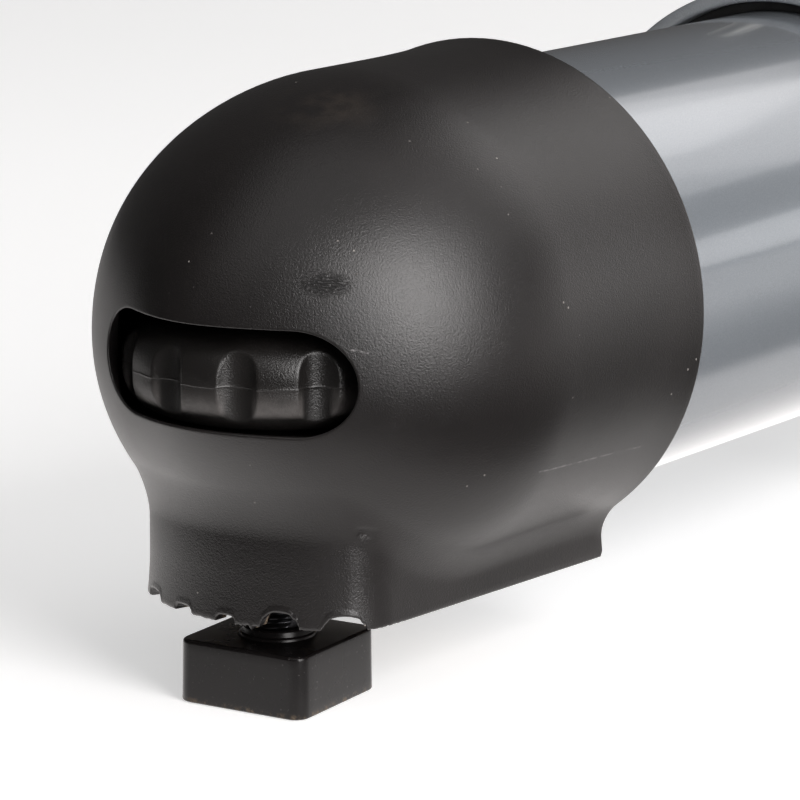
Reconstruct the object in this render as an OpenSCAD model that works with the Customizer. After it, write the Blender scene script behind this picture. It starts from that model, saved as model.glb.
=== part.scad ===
/* [Crossbar] */
// Overall length of the crossbar over both end caps
overall_l = 500; // [420:10:640]
// Outer diameter of the crossbar tube
tube_d = 76; // [74:0.5:78]
// Wall of the crossbar tube
tube_wall = 2; // [1.5:0.25:3]

/* [End cap] */
// Length of an end cap, from its rim to the tip of its nose
cap_l = 87.8; // [86:0.2:92]
// Length of the rounded nose
nose_l = 45.8; // [44:0.2:48]
// Fullness of the nose towards its tip
nose_m = 1.8; // [1.7:0.05:2.2]
// Fullness of the nose towards its barrel
nose_n = 1.85; // [1.7:0.05:2.2]
// Thickness of the sleeve around the tube
sleeve_t = 3.7; // [3.2:0.1:4.5]
// Height of the soft flare at the rim
flare_h = 1.15; // [0.6:0.05:1.6]
// Length over which the flare dies out
flare_l = 8; // [5:1:12]
// Wall of the nose and of the boss
cap_wall = 3; // [2.5:0.1:3.2]
// How deep the tube sits in the cap
insert_l = 33; // [31:0.5:33.5]
// Height of the shoulder that stops the tube in the cap
shoulder_h = 1.6; // [1.1:0.1:4]
// Width of the boss below the nose
boss_w = 47.2; // [46:0.2:50]
// Radius of the front of the boss, seen from above
boss_r = 30; // [29:0.5:32]
// Distance from the tip of the nose to the front of the boss
boss_set = 12.7; // [11:0.1:14]
// How far the flat underside lies below the barrel
skirt_drop = 0.6; // [0.2:0.1:2.2]
// Thickness of the two webs that hold the thumbwheel
web_t = 3.5; // [3:0.1:4]
// Thickness of the ribs above the upper web
rib_t = 2.5; // [2:0.1:3.5]
// Distance between the ribs' middle planes
rib_gap = 30; // [26:1:34]
// Radius of a notch in the bottom edge of the boss
notch_r = 3.1; // [2:0.1:3.4]
// Angle from one notch to the next around the boss
notch_pitch = 20; // [18:0.5:24]
// Number of notches
notch_n = 5; // [3:2:5]

/* [Slot] */
// Width of the slot for the finger
slot_w = 47; // [40:0.5:47]
// Height of the slot
slot_h = 16.8; // [14:0.2:17]
// Height of the slot's middle above the tube's axis
slot_rise = 0.3; // [-1:0.1:1]

/* [Leveller] */
// Distance from the tip of the nose to the leveller's axis
lev_inset = 27.9; // [27.5:0.1:28.5]
// How far the thumbwheel's middle lies below the tube's axis
wheel_drop = 1.8; // [0:0.1:2.5]
// Diameter of the thumbwheel
wheel_d = 49.2; // [44:0.2:49.4]
// Thickness of the thumbwheel
wheel_h = 15; // [13:0.5:16]
// Radius of the thumbwheel's rounded edges
wheel_edge = 4; // [2:0.5:5]
// How far the thumbwheel's hub stands up above its rim
hub_rise = 1.9; // [1:0.1:2.2]
// Diameter of the hub
hub_d = 24; // [20:0.5:28]
// Turn of the thumbwheel about the stem
wheel_turn = 21.7; // [0:0.1:30]
// Number of finger scallops
scallop_n = 12; // [8:1:14]
// Width of a scallop's round cutter
scallop_d = 8; // [6:0.5:9]
// Depth of a scallop
scallop_depth = 1.8; // [1:0.1:2.2]
// Height of a scallop
scallop_h = 11.5; // [9:0.5:12]
// Diameter of the threaded stem
stem_d = 10; // [8:0.5:11]
// Distance across the stem's two flats
stem_flats = 8; // [7:0.1:8.4]
// Distance across the flats of the nut in the thumbwheel
nut_af = 16; // [15:0.5:18]
// Height of the nut
nut_h = 8; // [6:0.5:10]
// Diameter of the thrust washers
washer_d = 22; // [18:0.5:26]
// Thickness of the thrust washers
washer_t = 1; // [0.8:0.1:1.4]
// Diameter of the guide bush
bush_d = 15; // [13.5:0.5:16]
// Diameter of the guide bush's flange
flange_d = 19; // [18:0.5:20]
// Thickness of the flange
flange_t = 1; // [0.8:0.1:1.2]
// Diameter of the stop ring at the top of the stem
stop_d = 15; // [13:0.5:16]
// Thickness of the stop ring
stop_t = 1.2; // [1:0.1:1.4]
// Length of stem above the stop ring
stem_tip = 1; // [0.5:0.1:1.2]
// How far the foot can be wound down from here
travel_down = 10; // [8:0.5:10]
// How far the foot can be wound up from here
travel_up = 4; // [2:0.5:4]

/* [Foot] */
// Width of the square foot
foot_w = 23; // [21:0.2:26]
// Height of the foot block
foot_h = 10; // [9:0.2:12]
// Radius of the foot's upright edges
foot_r = 2; // [1:0.1:3]
// Gap left under the cap when the foot is wound right up
foot_clear = 0.5; // [0.4:0.1:4]
// Turn of the foot about the stem
foot_yaw = 4.3; // [0:0.1:6]
// Diameter of the round collar on the foot
collar_d = 15; // [13:0.5:17]
// Height of the collar
collar_h = 1.6; // [0.8:0.1:2]
// Distance across the flats of the stem's head
head_af = 16; // [14:0.5:16.5]
// Height of the stem's head
head_h = 5; // [4:0.2:5.4]
// Thickness of the foot over the stem's head
foot_roof = 2.2; // [1.8:0.1:2.4]
// Width of the sole pad
sole_w = 18; // [17:0.2:19]
// Thickness of the sole pad
sole_t = 2; // [1.6:0.1:2.2]
// How far the sole pad stands out below the foot
sole_out = 0.4; // [0.2:0.1:0.8]

/* [Cap screws] */
// Diameter of a cap screw
screw_d = 4.2; // [3.5:0.1:5]
// Diameter of its countersunk head
screw_head_d = 8; // [7:0.2:9]
// Length of a cap screw
screw_l = 13; // [11:0.5:16]
// Distance from the rim to the first screw
screw_x = 9; // [7:0.5:11]
// Distance between the two screws
screw_pitch = 13; // [11:0.5:15]

/* [Frame saddle] */
// Lean of the saddle and its bolts, back from upright
saddle_lean = 20; // [10:1:30]
// Length of the saddle plate
saddle_l = 133; // [120:1:160]
// Width of the saddle plate, straight across
saddle_w = 62; // [54:1:66]
// Radius of the saddle plate's corners
saddle_corner = 8; // [4:1:12]
// Thickness of the saddle plate
saddle_t = 2.75; // [2.5:0.25:4]
// Thickness of the rubber liner under the saddle plate
liner_t = 2; // [1:0.1:2.5]
// How far the liner's edge lies inside the plate's edge
liner_inset = 4; // [2:0.5:6]
// Distance between the two frame bolts
bolt_pitch = 80; // [60:1:100]
// Diameter of a frame bolt
bolt_d = 10; // [8:0.5:12]
// Width of a frame bolt's domed head
bolt_head_d = 22; // [20:0.5:24]
// Height of the domed head
bolt_head_h = 5; // [4:0.2:6]
// Length of the square neck under the head
neck_l = 5; // [4:0.2:6]
// Length of bolt that stands out of the retainer
stud_l = 20; // [14:1:30]
// How far a frame bolt's shank is thinner than its thread, so that the retainer can snap in behind it
shank_drop = 1; // [0.8:0.1:1.4]
// Plain shank between the retainer and the thread
shank_gap = 0.5; // [0.3:0.1:1]
// Diameter of a push-on retainer
retainer_d = 19; // [17:0.5:22]
// Thickness of a push-on retainer
retainer_t = 0.8; // [0.6:0.1:1.2]

/* [Fits] */
// Radial clearance of a shaft that turns or slides
run_fit = 0.06; // [0.04:0.01:0.1]
// Clearance between flat faces that slide on each other
face_fit = 0.05; // [0.03:0.01:0.1]
// Radial clearance of a bolt or screw in its hole
hole_fit = 0.3; // [0.2:0.05:0.5]
// Radial clearance of the tube in its cap
tube_fit = 0.1; // [0.05:0.05:0.2]
// Radial clearance of the thumbwheel in its chamber
wheel_fit = 0.6; // [0.5:0.1:0.8]
// Clearance at the ends of travel
end_fit = 0.3; // [0.2:0.05:0.4]

/* [Hidden] */
$fn = 96;

// Overlap that makes a cut run clean through
cut = 1;
// Steps along each curve of the cap's profile
profile_steps = 24;

tube_r = tube_d / 2;
socket_r = tube_r + tube_fit;
body_r = tube_r + tube_fit + sleeve_t;
chamber_r = socket_r - shoulder_h;
skirt_h = body_r + skirt_drop;
barrel_l = cap_l - nose_l;
rim_x = overall_l / 2 - cap_l;
tube_end_x = rim_x + insert_l - end_fit;

// The crossbar stands on its soles at z = 0, so its axis is this high
foot_gap = travel_up + foot_clear;
axis_z = skirt_h + foot_gap + foot_h + sole_out;

// Heights in an end's own frame, from the tube's axis
lev_x = -(cap_l - lev_inset);
hub_top = wheel_h / 2 - wheel_drop + hub_rise;
wheel_bottom = -wheel_h / 2 - wheel_drop;
upper_web_z = hub_top + washer_t + 2 * face_fit;
lower_web_z = wheel_bottom - washer_t - 2 * face_fit;
bush_top = upper_web_z + web_t + flange_t;
stop_z = bush_top + travel_down + end_fit;
stem_top = stop_z + stop_t + stem_tip;
foot_top = -skirt_h - foot_gap;
foot_bottom = foot_top - foot_h;
sole_bottom = foot_bottom - sole_out;
head_top = foot_top - foot_roof;
boss_x = -(cap_l - boss_set - boss_r);

// Radii around the crossbar's axis under and over the saddle plate, and where the bolts' threads start
saddle_r0 = tube_r + liner_t;
saddle_r1 = saddle_r0 + saddle_t;
thread_r0 = saddle_r1 + retainer_t + shank_gap;
shank_r = (bolt_d - shank_drop) / 2;

// The nose's radius at the share s of its length
function nose_r(s) = body_r * pow(1 - pow(s, nose_m), 1 / nose_n);

// The barrel's radius at h from the rim
function barrel_r(h) = body_r + flare_h * exp(-h / flare_l);

// Rounded rectangle made of exact shapes
module rounded_plate(l, w, r) {
    square([l - 2 * r, w], center = true);
    square([l, w - 2 * r], center = true);
    for (x = [-1, 1], y = [-1, 1])
        translate([x * (l / 2 - r), y * (w / 2 - r)])
            circle(r);
}

module hexagon(across_flats) {
    circle(across_flats / sqrt(3), $fn = 6);
}

// Turns a profile of radius and distance from the rim about the tube's axis
module around_axis() {
    rotate([0, -90, 0])
        rotate_extrude()
            children();
}

// A ring of constant section standing on z
module ring(z, h, r_out, r_in) {
    translate([0, 0, z])
        difference() {
            cylinder(h = h, r = r_out);
            translate([0, 0, -cut])
                cylinder(h = h + 2 * cut, r = r_in);
        }
}

// Places an end's own frame: its rim plane at x = 0, its nose towards -x
module left_end() {
    translate([-rim_x, 0, axis_z])
        children();
}

module right_end() {
    rotate([0, 0, 180])
        left_end()
            children();
}

module at_leveller() {
    translate([lev_x, 0, 0])
        children();
}

// ---- The crossbar's middle ----

// Frame of the saddle: z runs outwards through the middle of the plate
module at_saddle() {
    translate([0, 0, axis_z])
        rotate([-saddle_lean, 0, 0])
            children();
}

module bolt_places() {
    for (side = [-1, 1])
        translate([side * bolt_pitch / 2, 0, 0])
            children();
}

// A piece of a sleeve around the tube, inside an outline with rounded corners
module saddle_piece(r_in, r_out, length, width, corner) {
    intersection() {
        rotate([0, 90, 0])
            difference() {
                cylinder(h = length + 2 * cut, r = r_out, center = true);
                cylinder(h = length + 4 * cut, r = r_in, center = true);
            }
        linear_extrude(height = r_out + cut)
            rounded_plate(length, width, corner);
    }
}

module bolt_holes() {
    bolt_places()
        cylinder(h = saddle_r1 + cut, r = bolt_d / 2 + hole_fit);
}

module crossbar_tube() {
    color([0.55, 0.58, 0.61])
        difference() {
            translate([0, 0, axis_z])
                rotate([0, 90, 0])
                    difference() {
                        cylinder(h = 2 * tube_end_x, r = tube_r, center = true);
                        cylinder(h = 2 * tube_end_x + 2 * cut, r = tube_r - tube_wall, center = true);
                    }
            at_saddle() {
                bolt_holes();
                bolt_places()
                    translate([0, 0, -tube_r / 2 - cut])
                        cube([bolt_d + 2 * run_fit, bolt_d + 2 * run_fit, tube_r + 2 * cut], center = true);
            }
            left_end() screw_holes();
            right_end() screw_holes();
        }
}

module saddle_plate() {
    color([0.52, 0.55, 0.59])
        at_saddle()
            difference() {
                saddle_piece(saddle_r0, saddle_r1, saddle_l, saddle_w, saddle_corner);
                bolt_holes();
            }
}

module saddle_liner() {
    color([0.05, 0.05, 0.05])
        at_saddle()
            difference() {
                saddle_piece(tube_r, saddle_r0, saddle_l - 2 * liner_inset, saddle_w - 2 * liner_inset, saddle_corner);
                bolt_holes();
            }
}

// A low dome whose flat face is at z = 0 and whose crown points down
module domed_head() {
    ball_r = (pow(bolt_head_d / 2, 2) + pow(bolt_head_h, 2)) / (2 * bolt_head_h);
    intersection() {
        translate([0, 0, ball_r - bolt_head_h])
            sphere(ball_r);
        translate([0, 0, -bolt_head_h - cut])
            cylinder(h = bolt_head_h + cut, r = bolt_head_d);
    }
}

module frame_bolts() {
    color([0.7, 0.71, 0.72])
        at_saddle()
            bolt_places() {
                translate([0, 0, -tube_r])
                    domed_head();
                translate([0, 0, -tube_r + neck_l / 2])
                    cube([bolt_d, bolt_d, neck_l], center = true);
                translate([0, 0, -tube_r])
                    cylinder(h = tube_r + thread_r0, r = shank_r);
                translate([0, 0, thread_r0])
                    cylinder(h = stud_l - shank_gap, r = bolt_d / 2);
            }
}

module bolt_retainers() {
    color([0.62, 0.63, 0.64])
        at_saddle()
            bolt_places()
                ring(saddle_r1, retainer_t, retainer_d / 2, shank_r);
}

// ---- End cap ----

module cap_outside() {
    around_axis()
        polygon(concat(
            [[0, 0]],
            [for (i = [0 : profile_steps / 2])
                let (h = barrel_l * pow(2 * i / profile_steps, 2))
                [barrel_r(h), h]],
            [for (i = [1 : profile_steps])
                let (s = sin(90 * i / profile_steps))
                [max(nose_r(s) + flare_h * exp(-barrel_l / flare_l) * (1 - s), 0), barrel_l + nose_l * s]]
        ));
}

// The boss's outline from above, inset by a wall
module boss_outline(inset) {
    intersection() {
        translate([boss_x, 0])
            union() {
                circle(boss_r - inset);
                translate([0, -boss_r])
                    square([-boss_x, 2 * boss_r]);
            }
        translate([-cap_l, -boss_w / 2 + inset])
            square([cap_l, boss_w - 2 * inset]);
    }
}

// The hollow behind the nose, before the webs are taken back out of it
module chamber() {
    around_axis()
        polygon(concat(
            [[0, insert_l - cut]],
            [[chamber_r, insert_l - cut]],
            [for (i = [0 : profile_steps])
                let (s = sin(90 * i / profile_steps))
                let (r = nose_r(s) - cap_wall)
                let (h = barrel_l + nose_l * s - cap_wall * s)
                if (r > 0) [min(r, chamber_r), h]],
            [[0, cap_l - cap_wall]]
        ));
}

module web(z) {
    translate([-cap_l, -body_r, z])
        cube([cap_l, 2 * body_r, web_t]);
}

module ribs() {
    for (side = [-1, 1])
        translate([-cap_l, side * rib_gap / 2 - rib_t / 2, upper_web_z])
            cube([cap_l, rib_t, body_r]);
}

module boss_hollow() {
    translate([0, 0, -skirt_h - cut])
        linear_extrude(height = skirt_h + cut + lower_web_z - web_t)
            intersection() {
                boss_outline(cap_wall);
                translate([-cap_l, -boss_w / 2])
                    square([cap_l - insert_l - cap_wall, boss_w]);
            }
}

module wheel_chamber() {
    translate([0, 0, lower_web_z])
        cylinder(h = upper_web_z - lower_web_z, r = wheel_d / 2 + wheel_fit);
}

// Slot with round ends, cut from outside into the wheel's chamber
module slot() {
    rotate([0, -90, 0])
        linear_extrude(height = cap_l)
            translate([slot_rise, 0])
                union() {
                    square([slot_h, slot_w - slot_h], center = true);
                    for (side = [-1, 1])
                        translate([0, side * (slot_w - slot_h) / 2])
                            circle(slot_h / 2);
                }
}

module notches() {
    for (i = [0 : notch_n - 1])
        translate([boss_x, 0, -skirt_h])
            rotate([0, 0, (i - (notch_n - 1) / 2) * notch_pitch])
                rotate([0, -90, 0])
                    cylinder(h = boss_r + cut, r = notch_r);
}

module screw_places() {
    for (i = [0, 1])
        translate([-screw_x - i * screw_pitch, 0, -skirt_h])
            children();
}

module screw_holes() {
    screw_places()
        translate([0, 0, -cut])
            cylinder(h = screw_l + 2 * cut, r = screw_d / 2 + hole_fit);
}

module screw_head(extra) {
    cylinder(h = screw_head_d / 2 - screw_d / 2, r1 = screw_head_d / 2 + extra, r2 = screw_d / 2 + extra);
}

// Round section with two flats, grown by a clearance
module stem_section(fit) {
    intersection() {
        circle(stem_d / 2 + fit);
        square([2 * stem_d, stem_flats + 2 * fit], center = true);
    }
}

// Hole that keeps the stem from turning
module keyed_hole() {
    rotate([0, 0, foot_yaw])
        translate([0, 0, lower_web_z - web_t - cut])
            linear_extrude(height = web_t + 2 * cut)
                stem_section(run_fit);
}

module end_cap() {
    color([0.13, 0.12, 0.12])
        difference() {
            union() {
                cap_outside();
                translate([0, 0, -skirt_h])
                    linear_extrude(height = skirt_h)
                        boss_outline(0);
            }
            translate([-cap_l - cut, -cap_l, -2 * skirt_h])
                cube([cap_l + 2 * cut, 2 * cap_l, skirt_h]);
            translate([cut, 0, 0])
                rotate([0, -90, 0])
                    cylinder(h = insert_l + cut, r = socket_r);
            difference() {
                chamber();
                web(upper_web_z);
                web(lower_web_z - web_t);
                ribs();
            }
            boss_hollow();
            at_leveller() {
                wheel_chamber();
                slot();
                keyed_hole();
                translate([0, 0, upper_web_z - cut])
                    cylinder(h = web_t + 2 * cut, r = bush_d / 2);
            }
            notches();
            screw_holes();
            screw_places()
                translate([0, 0, -face_fit])
                    screw_head(face_fit);
        }
}

module cap_screws() {
    color([0.4, 0.4, 0.41])
        screw_places() {
            screw_head(0);
            cylinder(h = screw_l, r = screw_d / 2);
        }
}

// ---- Leveller ----

module guide_bush() {
    color([0.85, 0.84, 0.8])
        at_leveller() {
            ring(upper_web_z, web_t, bush_d / 2, stem_d / 2 + run_fit);
            ring(upper_web_z + web_t, flange_t, flange_d / 2, stem_d / 2 + run_fit);
        }
}

module thrust_washer(z) {
    color([0.7, 0.71, 0.72])
        at_leveller()
            ring(z, washer_t, washer_d / 2, stem_d / 2 + hole_fit);
}

module upper_washer() {
    thrust_washer(upper_web_z - face_fit - washer_t);
}

module lower_washer() {
    thrust_washer(lower_web_z + face_fit);
}

// Half of the wheel's section, with rounded edges
module wheel_section() {
    r = wheel_d / 2;
    square([r - wheel_edge, wheel_h]);
    translate([0, wheel_edge])
        square([r, wheel_h - 2 * wheel_edge]);
    for (z = [wheel_edge, wheel_h - wheel_edge])
        translate([r - wheel_edge, z])
            circle(wheel_edge);
}

// An upright rod with ball ends that presses a scallop into the rim
module scallop_cutter() {
    half = scallop_h / 2 - scallop_d / 2;
    translate([wheel_d / 2 + scallop_d / 2 - scallop_depth, 0, wheel_h / 2]) {
        translate([0, 0, -half])
            cylinder(h = 2 * half, r = scallop_d / 2);
        for (side = [-1, 1])
            translate([0, 0, side * half])
                sphere(scallop_d / 2);
    }
}

module nut_shape() {
    translate([0, 0, (wheel_h - nut_h) / 2])
        rotate([0, 0, 30])
            linear_extrude(height = nut_h)
                hexagon(nut_af);
}

module thumbwheel() {
    color([0.1, 0.1, 0.11])
        at_leveller()
            translate([0, 0, wheel_bottom])
                difference() {
                    union() {
                        rotate_extrude()
                            wheel_section();
                        cylinder(h = wheel_h + hub_rise, r = hub_d / 2);
                    }
                    translate([0, 0, -cut])
                        cylinder(h = wheel_h + hub_rise + 2 * cut, r = stem_d / 2 + hole_fit);
                    nut_shape();
                    for (i = [0 : scallop_n - 1])
                        rotate([0, 0, 360 * i / scallop_n + wheel_turn])
                            scallop_cutter();
                }
}

module wheel_nut() {
    color([0.78, 0.65, 0.35])
        at_leveller()
            translate([0, 0, wheel_bottom])
                difference() {
                    nut_shape();
                    cylinder(h = wheel_h, r = stem_d / 2 + run_fit);
                }
}

module stem() {
    color([0.66, 0.67, 0.68])
        at_leveller()
            rotate([0, 0, foot_yaw]) {
                translate([0, 0, head_top])
                    linear_extrude(height = stem_top - head_top)
                        stem_section(0);
                translate([0, 0, head_top - head_h])
                    linear_extrude(height = head_h)
                        hexagon(head_af);
            }
}

module stop_ring() {
    color([0.6, 0.61, 0.62])
        at_leveller()
            rotate([0, 0, foot_yaw])
                translate([0, 0, stop_z])
                    linear_extrude(height = stop_t)
                        difference() {
                            circle(stop_d / 2);
                            stem_section(0);
                        }
}

module foot() {
    color([0.11, 0.11, 0.12])
        at_leveller()
            rotate([0, 0, foot_yaw])
                difference() {
                    union() {
                        translate([0, 0, foot_bottom])
                            linear_extrude(height = foot_h)
                                rounded_plate(foot_w, foot_w, foot_r);
                        translate([0, 0, foot_top])
                            cylinder(h = collar_h, r = collar_d / 2);
                    }
                    translate([0, 0, foot_bottom])
                        cylinder(h = foot_h + collar_h + cut, r = stem_d / 2);
                    translate([0, 0, foot_bottom])
                        linear_extrude(height = head_top - foot_bottom)
                            hexagon(head_af);
                    translate([0, 0, foot_bottom - cut])
                        linear_extrude(height = cut + sole_t - sole_out)
                            square(sole_w, center = true);
                }
}

module sole_pad() {
    color([0.08, 0.08, 0.08])
        at_leveller()
            rotate([0, 0, foot_yaw])
                translate([0, 0, sole_bottom])
                    linear_extrude(height = sole_t)
                        square(sole_w, center = true);
}

crossbar_tube();
saddle_plate();
saddle_liner();
frame_bolts();
bolt_retainers();
left_end() end_cap();  // left_end_cap
left_end() guide_bush();  // left_guide_bush
left_end() upper_washer();  // left_upper_washer
left_end() lower_washer();  // left_lower_washer
left_end() thumbwheel();  // left_thumbwheel
left_end() wheel_nut();  // left_wheel_nut
left_end() stem();  // left_stem
left_end() stop_ring();  // left_stop_ring
left_end() foot();  // left_foot
left_end() sole_pad();  // left_sole_pad
left_end() cap_screws();  // left_cap_screws
right_end() end_cap();  // right_end_cap
right_end() guide_bush();  // right_guide_bush
right_end() upper_washer();  // right_upper_washer
right_end() lower_washer();  // right_lower_washer
right_end() thumbwheel();  // right_thumbwheel
right_end() wheel_nut();  // right_wheel_nut
right_end() stem();  // right_stem
right_end() stop_ring();  // right_stop_ring
right_end() foot();  // right_foot
right_end() sole_pad();  // right_sole_pad
right_end() cap_screws();  // right_cap_screws
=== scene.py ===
import math

import bmesh
import bpy
import numpy as np
from mathutils import Matrix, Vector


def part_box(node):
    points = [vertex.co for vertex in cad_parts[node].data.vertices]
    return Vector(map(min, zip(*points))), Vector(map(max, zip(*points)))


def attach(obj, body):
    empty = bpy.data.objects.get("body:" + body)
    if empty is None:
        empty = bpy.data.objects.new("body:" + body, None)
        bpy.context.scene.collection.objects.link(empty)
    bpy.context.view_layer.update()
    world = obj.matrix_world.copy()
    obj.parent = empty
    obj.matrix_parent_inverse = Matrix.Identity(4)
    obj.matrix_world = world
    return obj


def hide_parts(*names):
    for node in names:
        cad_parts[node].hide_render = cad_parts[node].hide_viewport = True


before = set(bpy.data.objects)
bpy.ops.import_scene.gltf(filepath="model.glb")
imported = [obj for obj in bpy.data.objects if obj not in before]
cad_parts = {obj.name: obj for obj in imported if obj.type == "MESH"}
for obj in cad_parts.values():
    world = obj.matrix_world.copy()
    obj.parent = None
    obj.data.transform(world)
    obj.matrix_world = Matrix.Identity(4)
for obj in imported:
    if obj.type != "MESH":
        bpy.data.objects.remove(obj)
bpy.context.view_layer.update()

bl_info = {
    "name": "Levelling Crossbar",
    "version": (1, 0, 0),
    "blender": (4, 5, 0),
    "location": "3D View > Sidebar > Crossbar",
    "description": "Dresses a painted stabiliser crossbar with its moulded caps and levelling feet",
    "category": "Add Mesh",
}

MM = 0.001
SIDES = ("left", "right")


def span(node):
    """Lowest and highest corner of a CAD node, in millimetres."""
    low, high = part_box(node)
    return np.array(low) / MM, np.array(high) / MM


def middle(node):
    """Middle of a CAD node's box, in millimetres."""
    low, high = span(node)
    return (low + high) / 2


# Where the CAD parts are, in millimetres. An end's own frame has the rim plane at
# x = 0, the nose towards -x and the tube's axis at y = z = 0.
TUBE_LOW, TUBE_HIGH = span("crossbar_tube")
AXIS_Z = middle("crossbar_tube")[2]
TUBE_R = (TUBE_HIGH[2] - TUBE_LOW[2]) / 2
RIM_X = -span("left_end_cap")[1][0]
CAP_TIP = RIM_X + span("left_end_cap")[0][0]
LEVER_X = middle("left_upper_washer")[0] + RIM_X
WHEEL_LOW = span("left_thumbwheel")[0][2] - AXIS_Z
HUB_TOP = span("left_thumbwheel")[1][2] - AXIS_Z
RIM_TALL = 15.0
UPPER_WEB = span("left_guide_bush")[0][2] - AXIS_Z
LOWER_WEB = span("left_lower_washer")[0][2] - AXIS_Z
CAP_UNDER = span("left_end_cap")[0][2] - AXIS_Z
STEM_LOW, STEM_HIGH = (corner[2] - AXIS_Z for corner in span("left_stem"))
FOOT_HIGH = span("left_foot")[1][2] - AXIS_Z
COLLAR_TALL = 1.6
SOLE_LOW, SOLE_HIGH = (corner[2] - AXIS_Z for corner in span("left_sole_pad"))
_, RETAINER_Y, RETAINER_Z = middle("bolt_retainers")
LEAN = math.atan2(RETAINER_Y, RETAINER_Z - AXIS_Z)
SADDLE_END, _, SADDLE_OUT = span("saddle_plate")[1] - (0, 0, AXIS_Z)
SADDLE_IN = span("saddle_liner")[1][2] - AXIS_Z
SADDLE_HALF, SADDLE_CORNER, LINER_INSET = 31.0, 8.0, 4.0
BOLT_X, BOLT_R = 40.0, 5.0
WEB_END = -34.5


# ---- Sizes and colours that a user would change ----


def length(text, value, low=0.0):
    """A length of value millimetres as a property in metres."""
    return bpy.props.FloatProperty(
        description=text, default=value * MM, min=low, max=0.2, unit="LENGTH", precision=5
    )


def number(text, value):
    return bpy.props.FloatProperty(description=text, default=value, min=0, max=10)


def turning(text, degrees):
    return bpy.props.FloatProperty(description=text, default=math.radians(degrees), subtype="ANGLE")


def colour(text, value):
    return bpy.props.FloatVectorProperty(
        description=text, default=value, size=3, min=0, max=1, subtype="COLOR"
    )


class CapSizes(bpy.types.PropertyGroup):
    """Sizes of the moulded end caps."""

    nose_length: length("From the barrel's end to the tip of the nose", 49.9)
    barrel_radius: length("Radius of the cap behind its nose", 42.15)
    side_start: number("Fullness of the nose's sides near the barrel", 2.09)
    side_end: number("Fullness of the nose's sides near the tip", 1.41)
    top_start: number("Fullness of the nose's top near the barrel", 1.80)
    top_end: number("Fullness of the nose's top near the tip", 2.00)
    chin_start: number("Fullness of the nose's underside near the barrel", 1.96)
    chin_end: number("Fullness of the nose's underside near the tip", 1.35)
    flare: length("How far the rim flares out", 0.95)
    flare_run: length("Length over which the flare dies out", 8.0)
    wall: length("Thickness of the moulded wall", 3.0)
    fillet: length("Hollow fillet between the nose and the boss", 3.2)
    slot_width: length("Width of the finger slot", 44.1)
    slot_height: length("Height of the finger slot", 16.8)
    slot_rise: length("Height of the slot's middle above the axis", -0.2, -0.01)
    slot_shift: length("How far the slot's middle lies off the cap's own, towards +Y", -3.5, -0.01)
    slot_tilt: number("Rise of the slot's length for each unit towards +Y", 0.032)
    lip: length("Rounding of the slot's lip", 0.5)
    edge: length("Rounding of the rim and of the bottom edge", 0.45)
    boss_radius: length("Radius of the boss's front, seen from above", 30.0)
    boss_half: length("Half the boss's width at the rim", 23.7)
    notch_height: length("Height of the notches in the bottom edge", 2.8)


class LevellerSizes(bpy.types.PropertyGroup):
    """Sizes of the thumbwheel, stem and foot."""

    wheel_radius: length("Radius of the thumbwheel", 24.6)
    wheel_edge: length("Radius of the thumbwheel's rounded edges", 6.4)
    scallops: bpy.props.IntProperty(description="Number of finger scallops", default=12, min=4, max=24)
    scallop_radius: length("Radius of a scallop's hollow", 4.0)
    scallop_depth: length("Depth of a scallop", 1.8)
    wheel_turn: turning("Turn of the thumbwheel about the stem", 21.7)
    stem_radius: length("Radius of the threaded stem", 5.0)
    pitch: length("Pitch of the stem's thread", 1.5)
    foot_half: length("Half the width of the square foot", 11.82)
    foot_corner: length("Radius of the foot's upright corners", 2.6)
    foot_turn: turning("Turn of the foot about the stem", 4.3)


class Finishes(bpy.types.PropertyGroup):
    """Colours of the finishes."""

    cap: colour("Moulded plastic of the end caps", (0.0095, 0.0082, 0.0080))
    wheel: colour("Moulded plastic of the thumbwheels", (0.0080, 0.0072, 0.0068))
    foot: colour("Moulded plastic of the feet", (0.0055, 0.0046, 0.0046))
    paint: colour("Metallic paint of the tube", (0.205, 0.224, 0.245))
    # The saddle shares the tube's bluish-grey paint; this lighter colour is painted light on its lit edge
    saddle: colour("Paint of the saddle plate", (0.36, 0.385, 0.41))
    rubber: colour("Rubber of the liner and soles", (0.012, 0.012, 0.012))
    zinc: colour("Zinc-plated fasteners", (0.62, 0.62, 0.60))
    brass: colour("Brass nut in the thumbwheel", (0.70, 0.50, 0.22))
    nylon: colour("Nylon guide bush", (0.72, 0.70, 0.64))
    stem: colour("Blackened steel of the stem", (0.06, 0.06, 0.065))
    dust: colour("Dust in corners and hollows", (0.20, 0.15, 0.105))


# ---- Mesh helpers ----

THREAD_STEPS = 72


def quads_of(rows, cols, wrap_rows=False, wrap_cols=False):
    """Corner numbers of the quads between neighbouring points of a grid."""
    r = np.arange(rows if wrap_rows else rows - 1)[:, None]
    c = np.arange(cols if wrap_cols else cols - 1)[None, :]
    r1, c1 = (r + 1) % rows, (c + 1) % cols
    corners = [r * cols + c, r * cols + c1, r1 * cols + c1, r1 * cols + c]
    return np.stack(np.broadcast_arrays(*corners), -1).reshape(-1, 4)


def outward(points, quads):
    """A closed surface as (points, quads), with its faces outwards.

    The sign of the enclosed volume, the sum of a . (b x c) over its triangles, says
    which way the quads run.
    """
    a, b, c, d = (points[quads[:, i]] for i in range(4))
    volume = (a * np.cross(b, c)).sum() + (a * np.cross(c, d)).sum()
    return points, quads if volume > 0 else quads[:, ::-1]


def shell(grid, wrap_rows=True, wrap_cols=True):
    """A grid of points that closes on itself, as a closed surface."""
    return outward(grid.reshape(-1, 3), quads_of(*grid.shape[:2], wrap_rows, wrap_cols))


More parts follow.
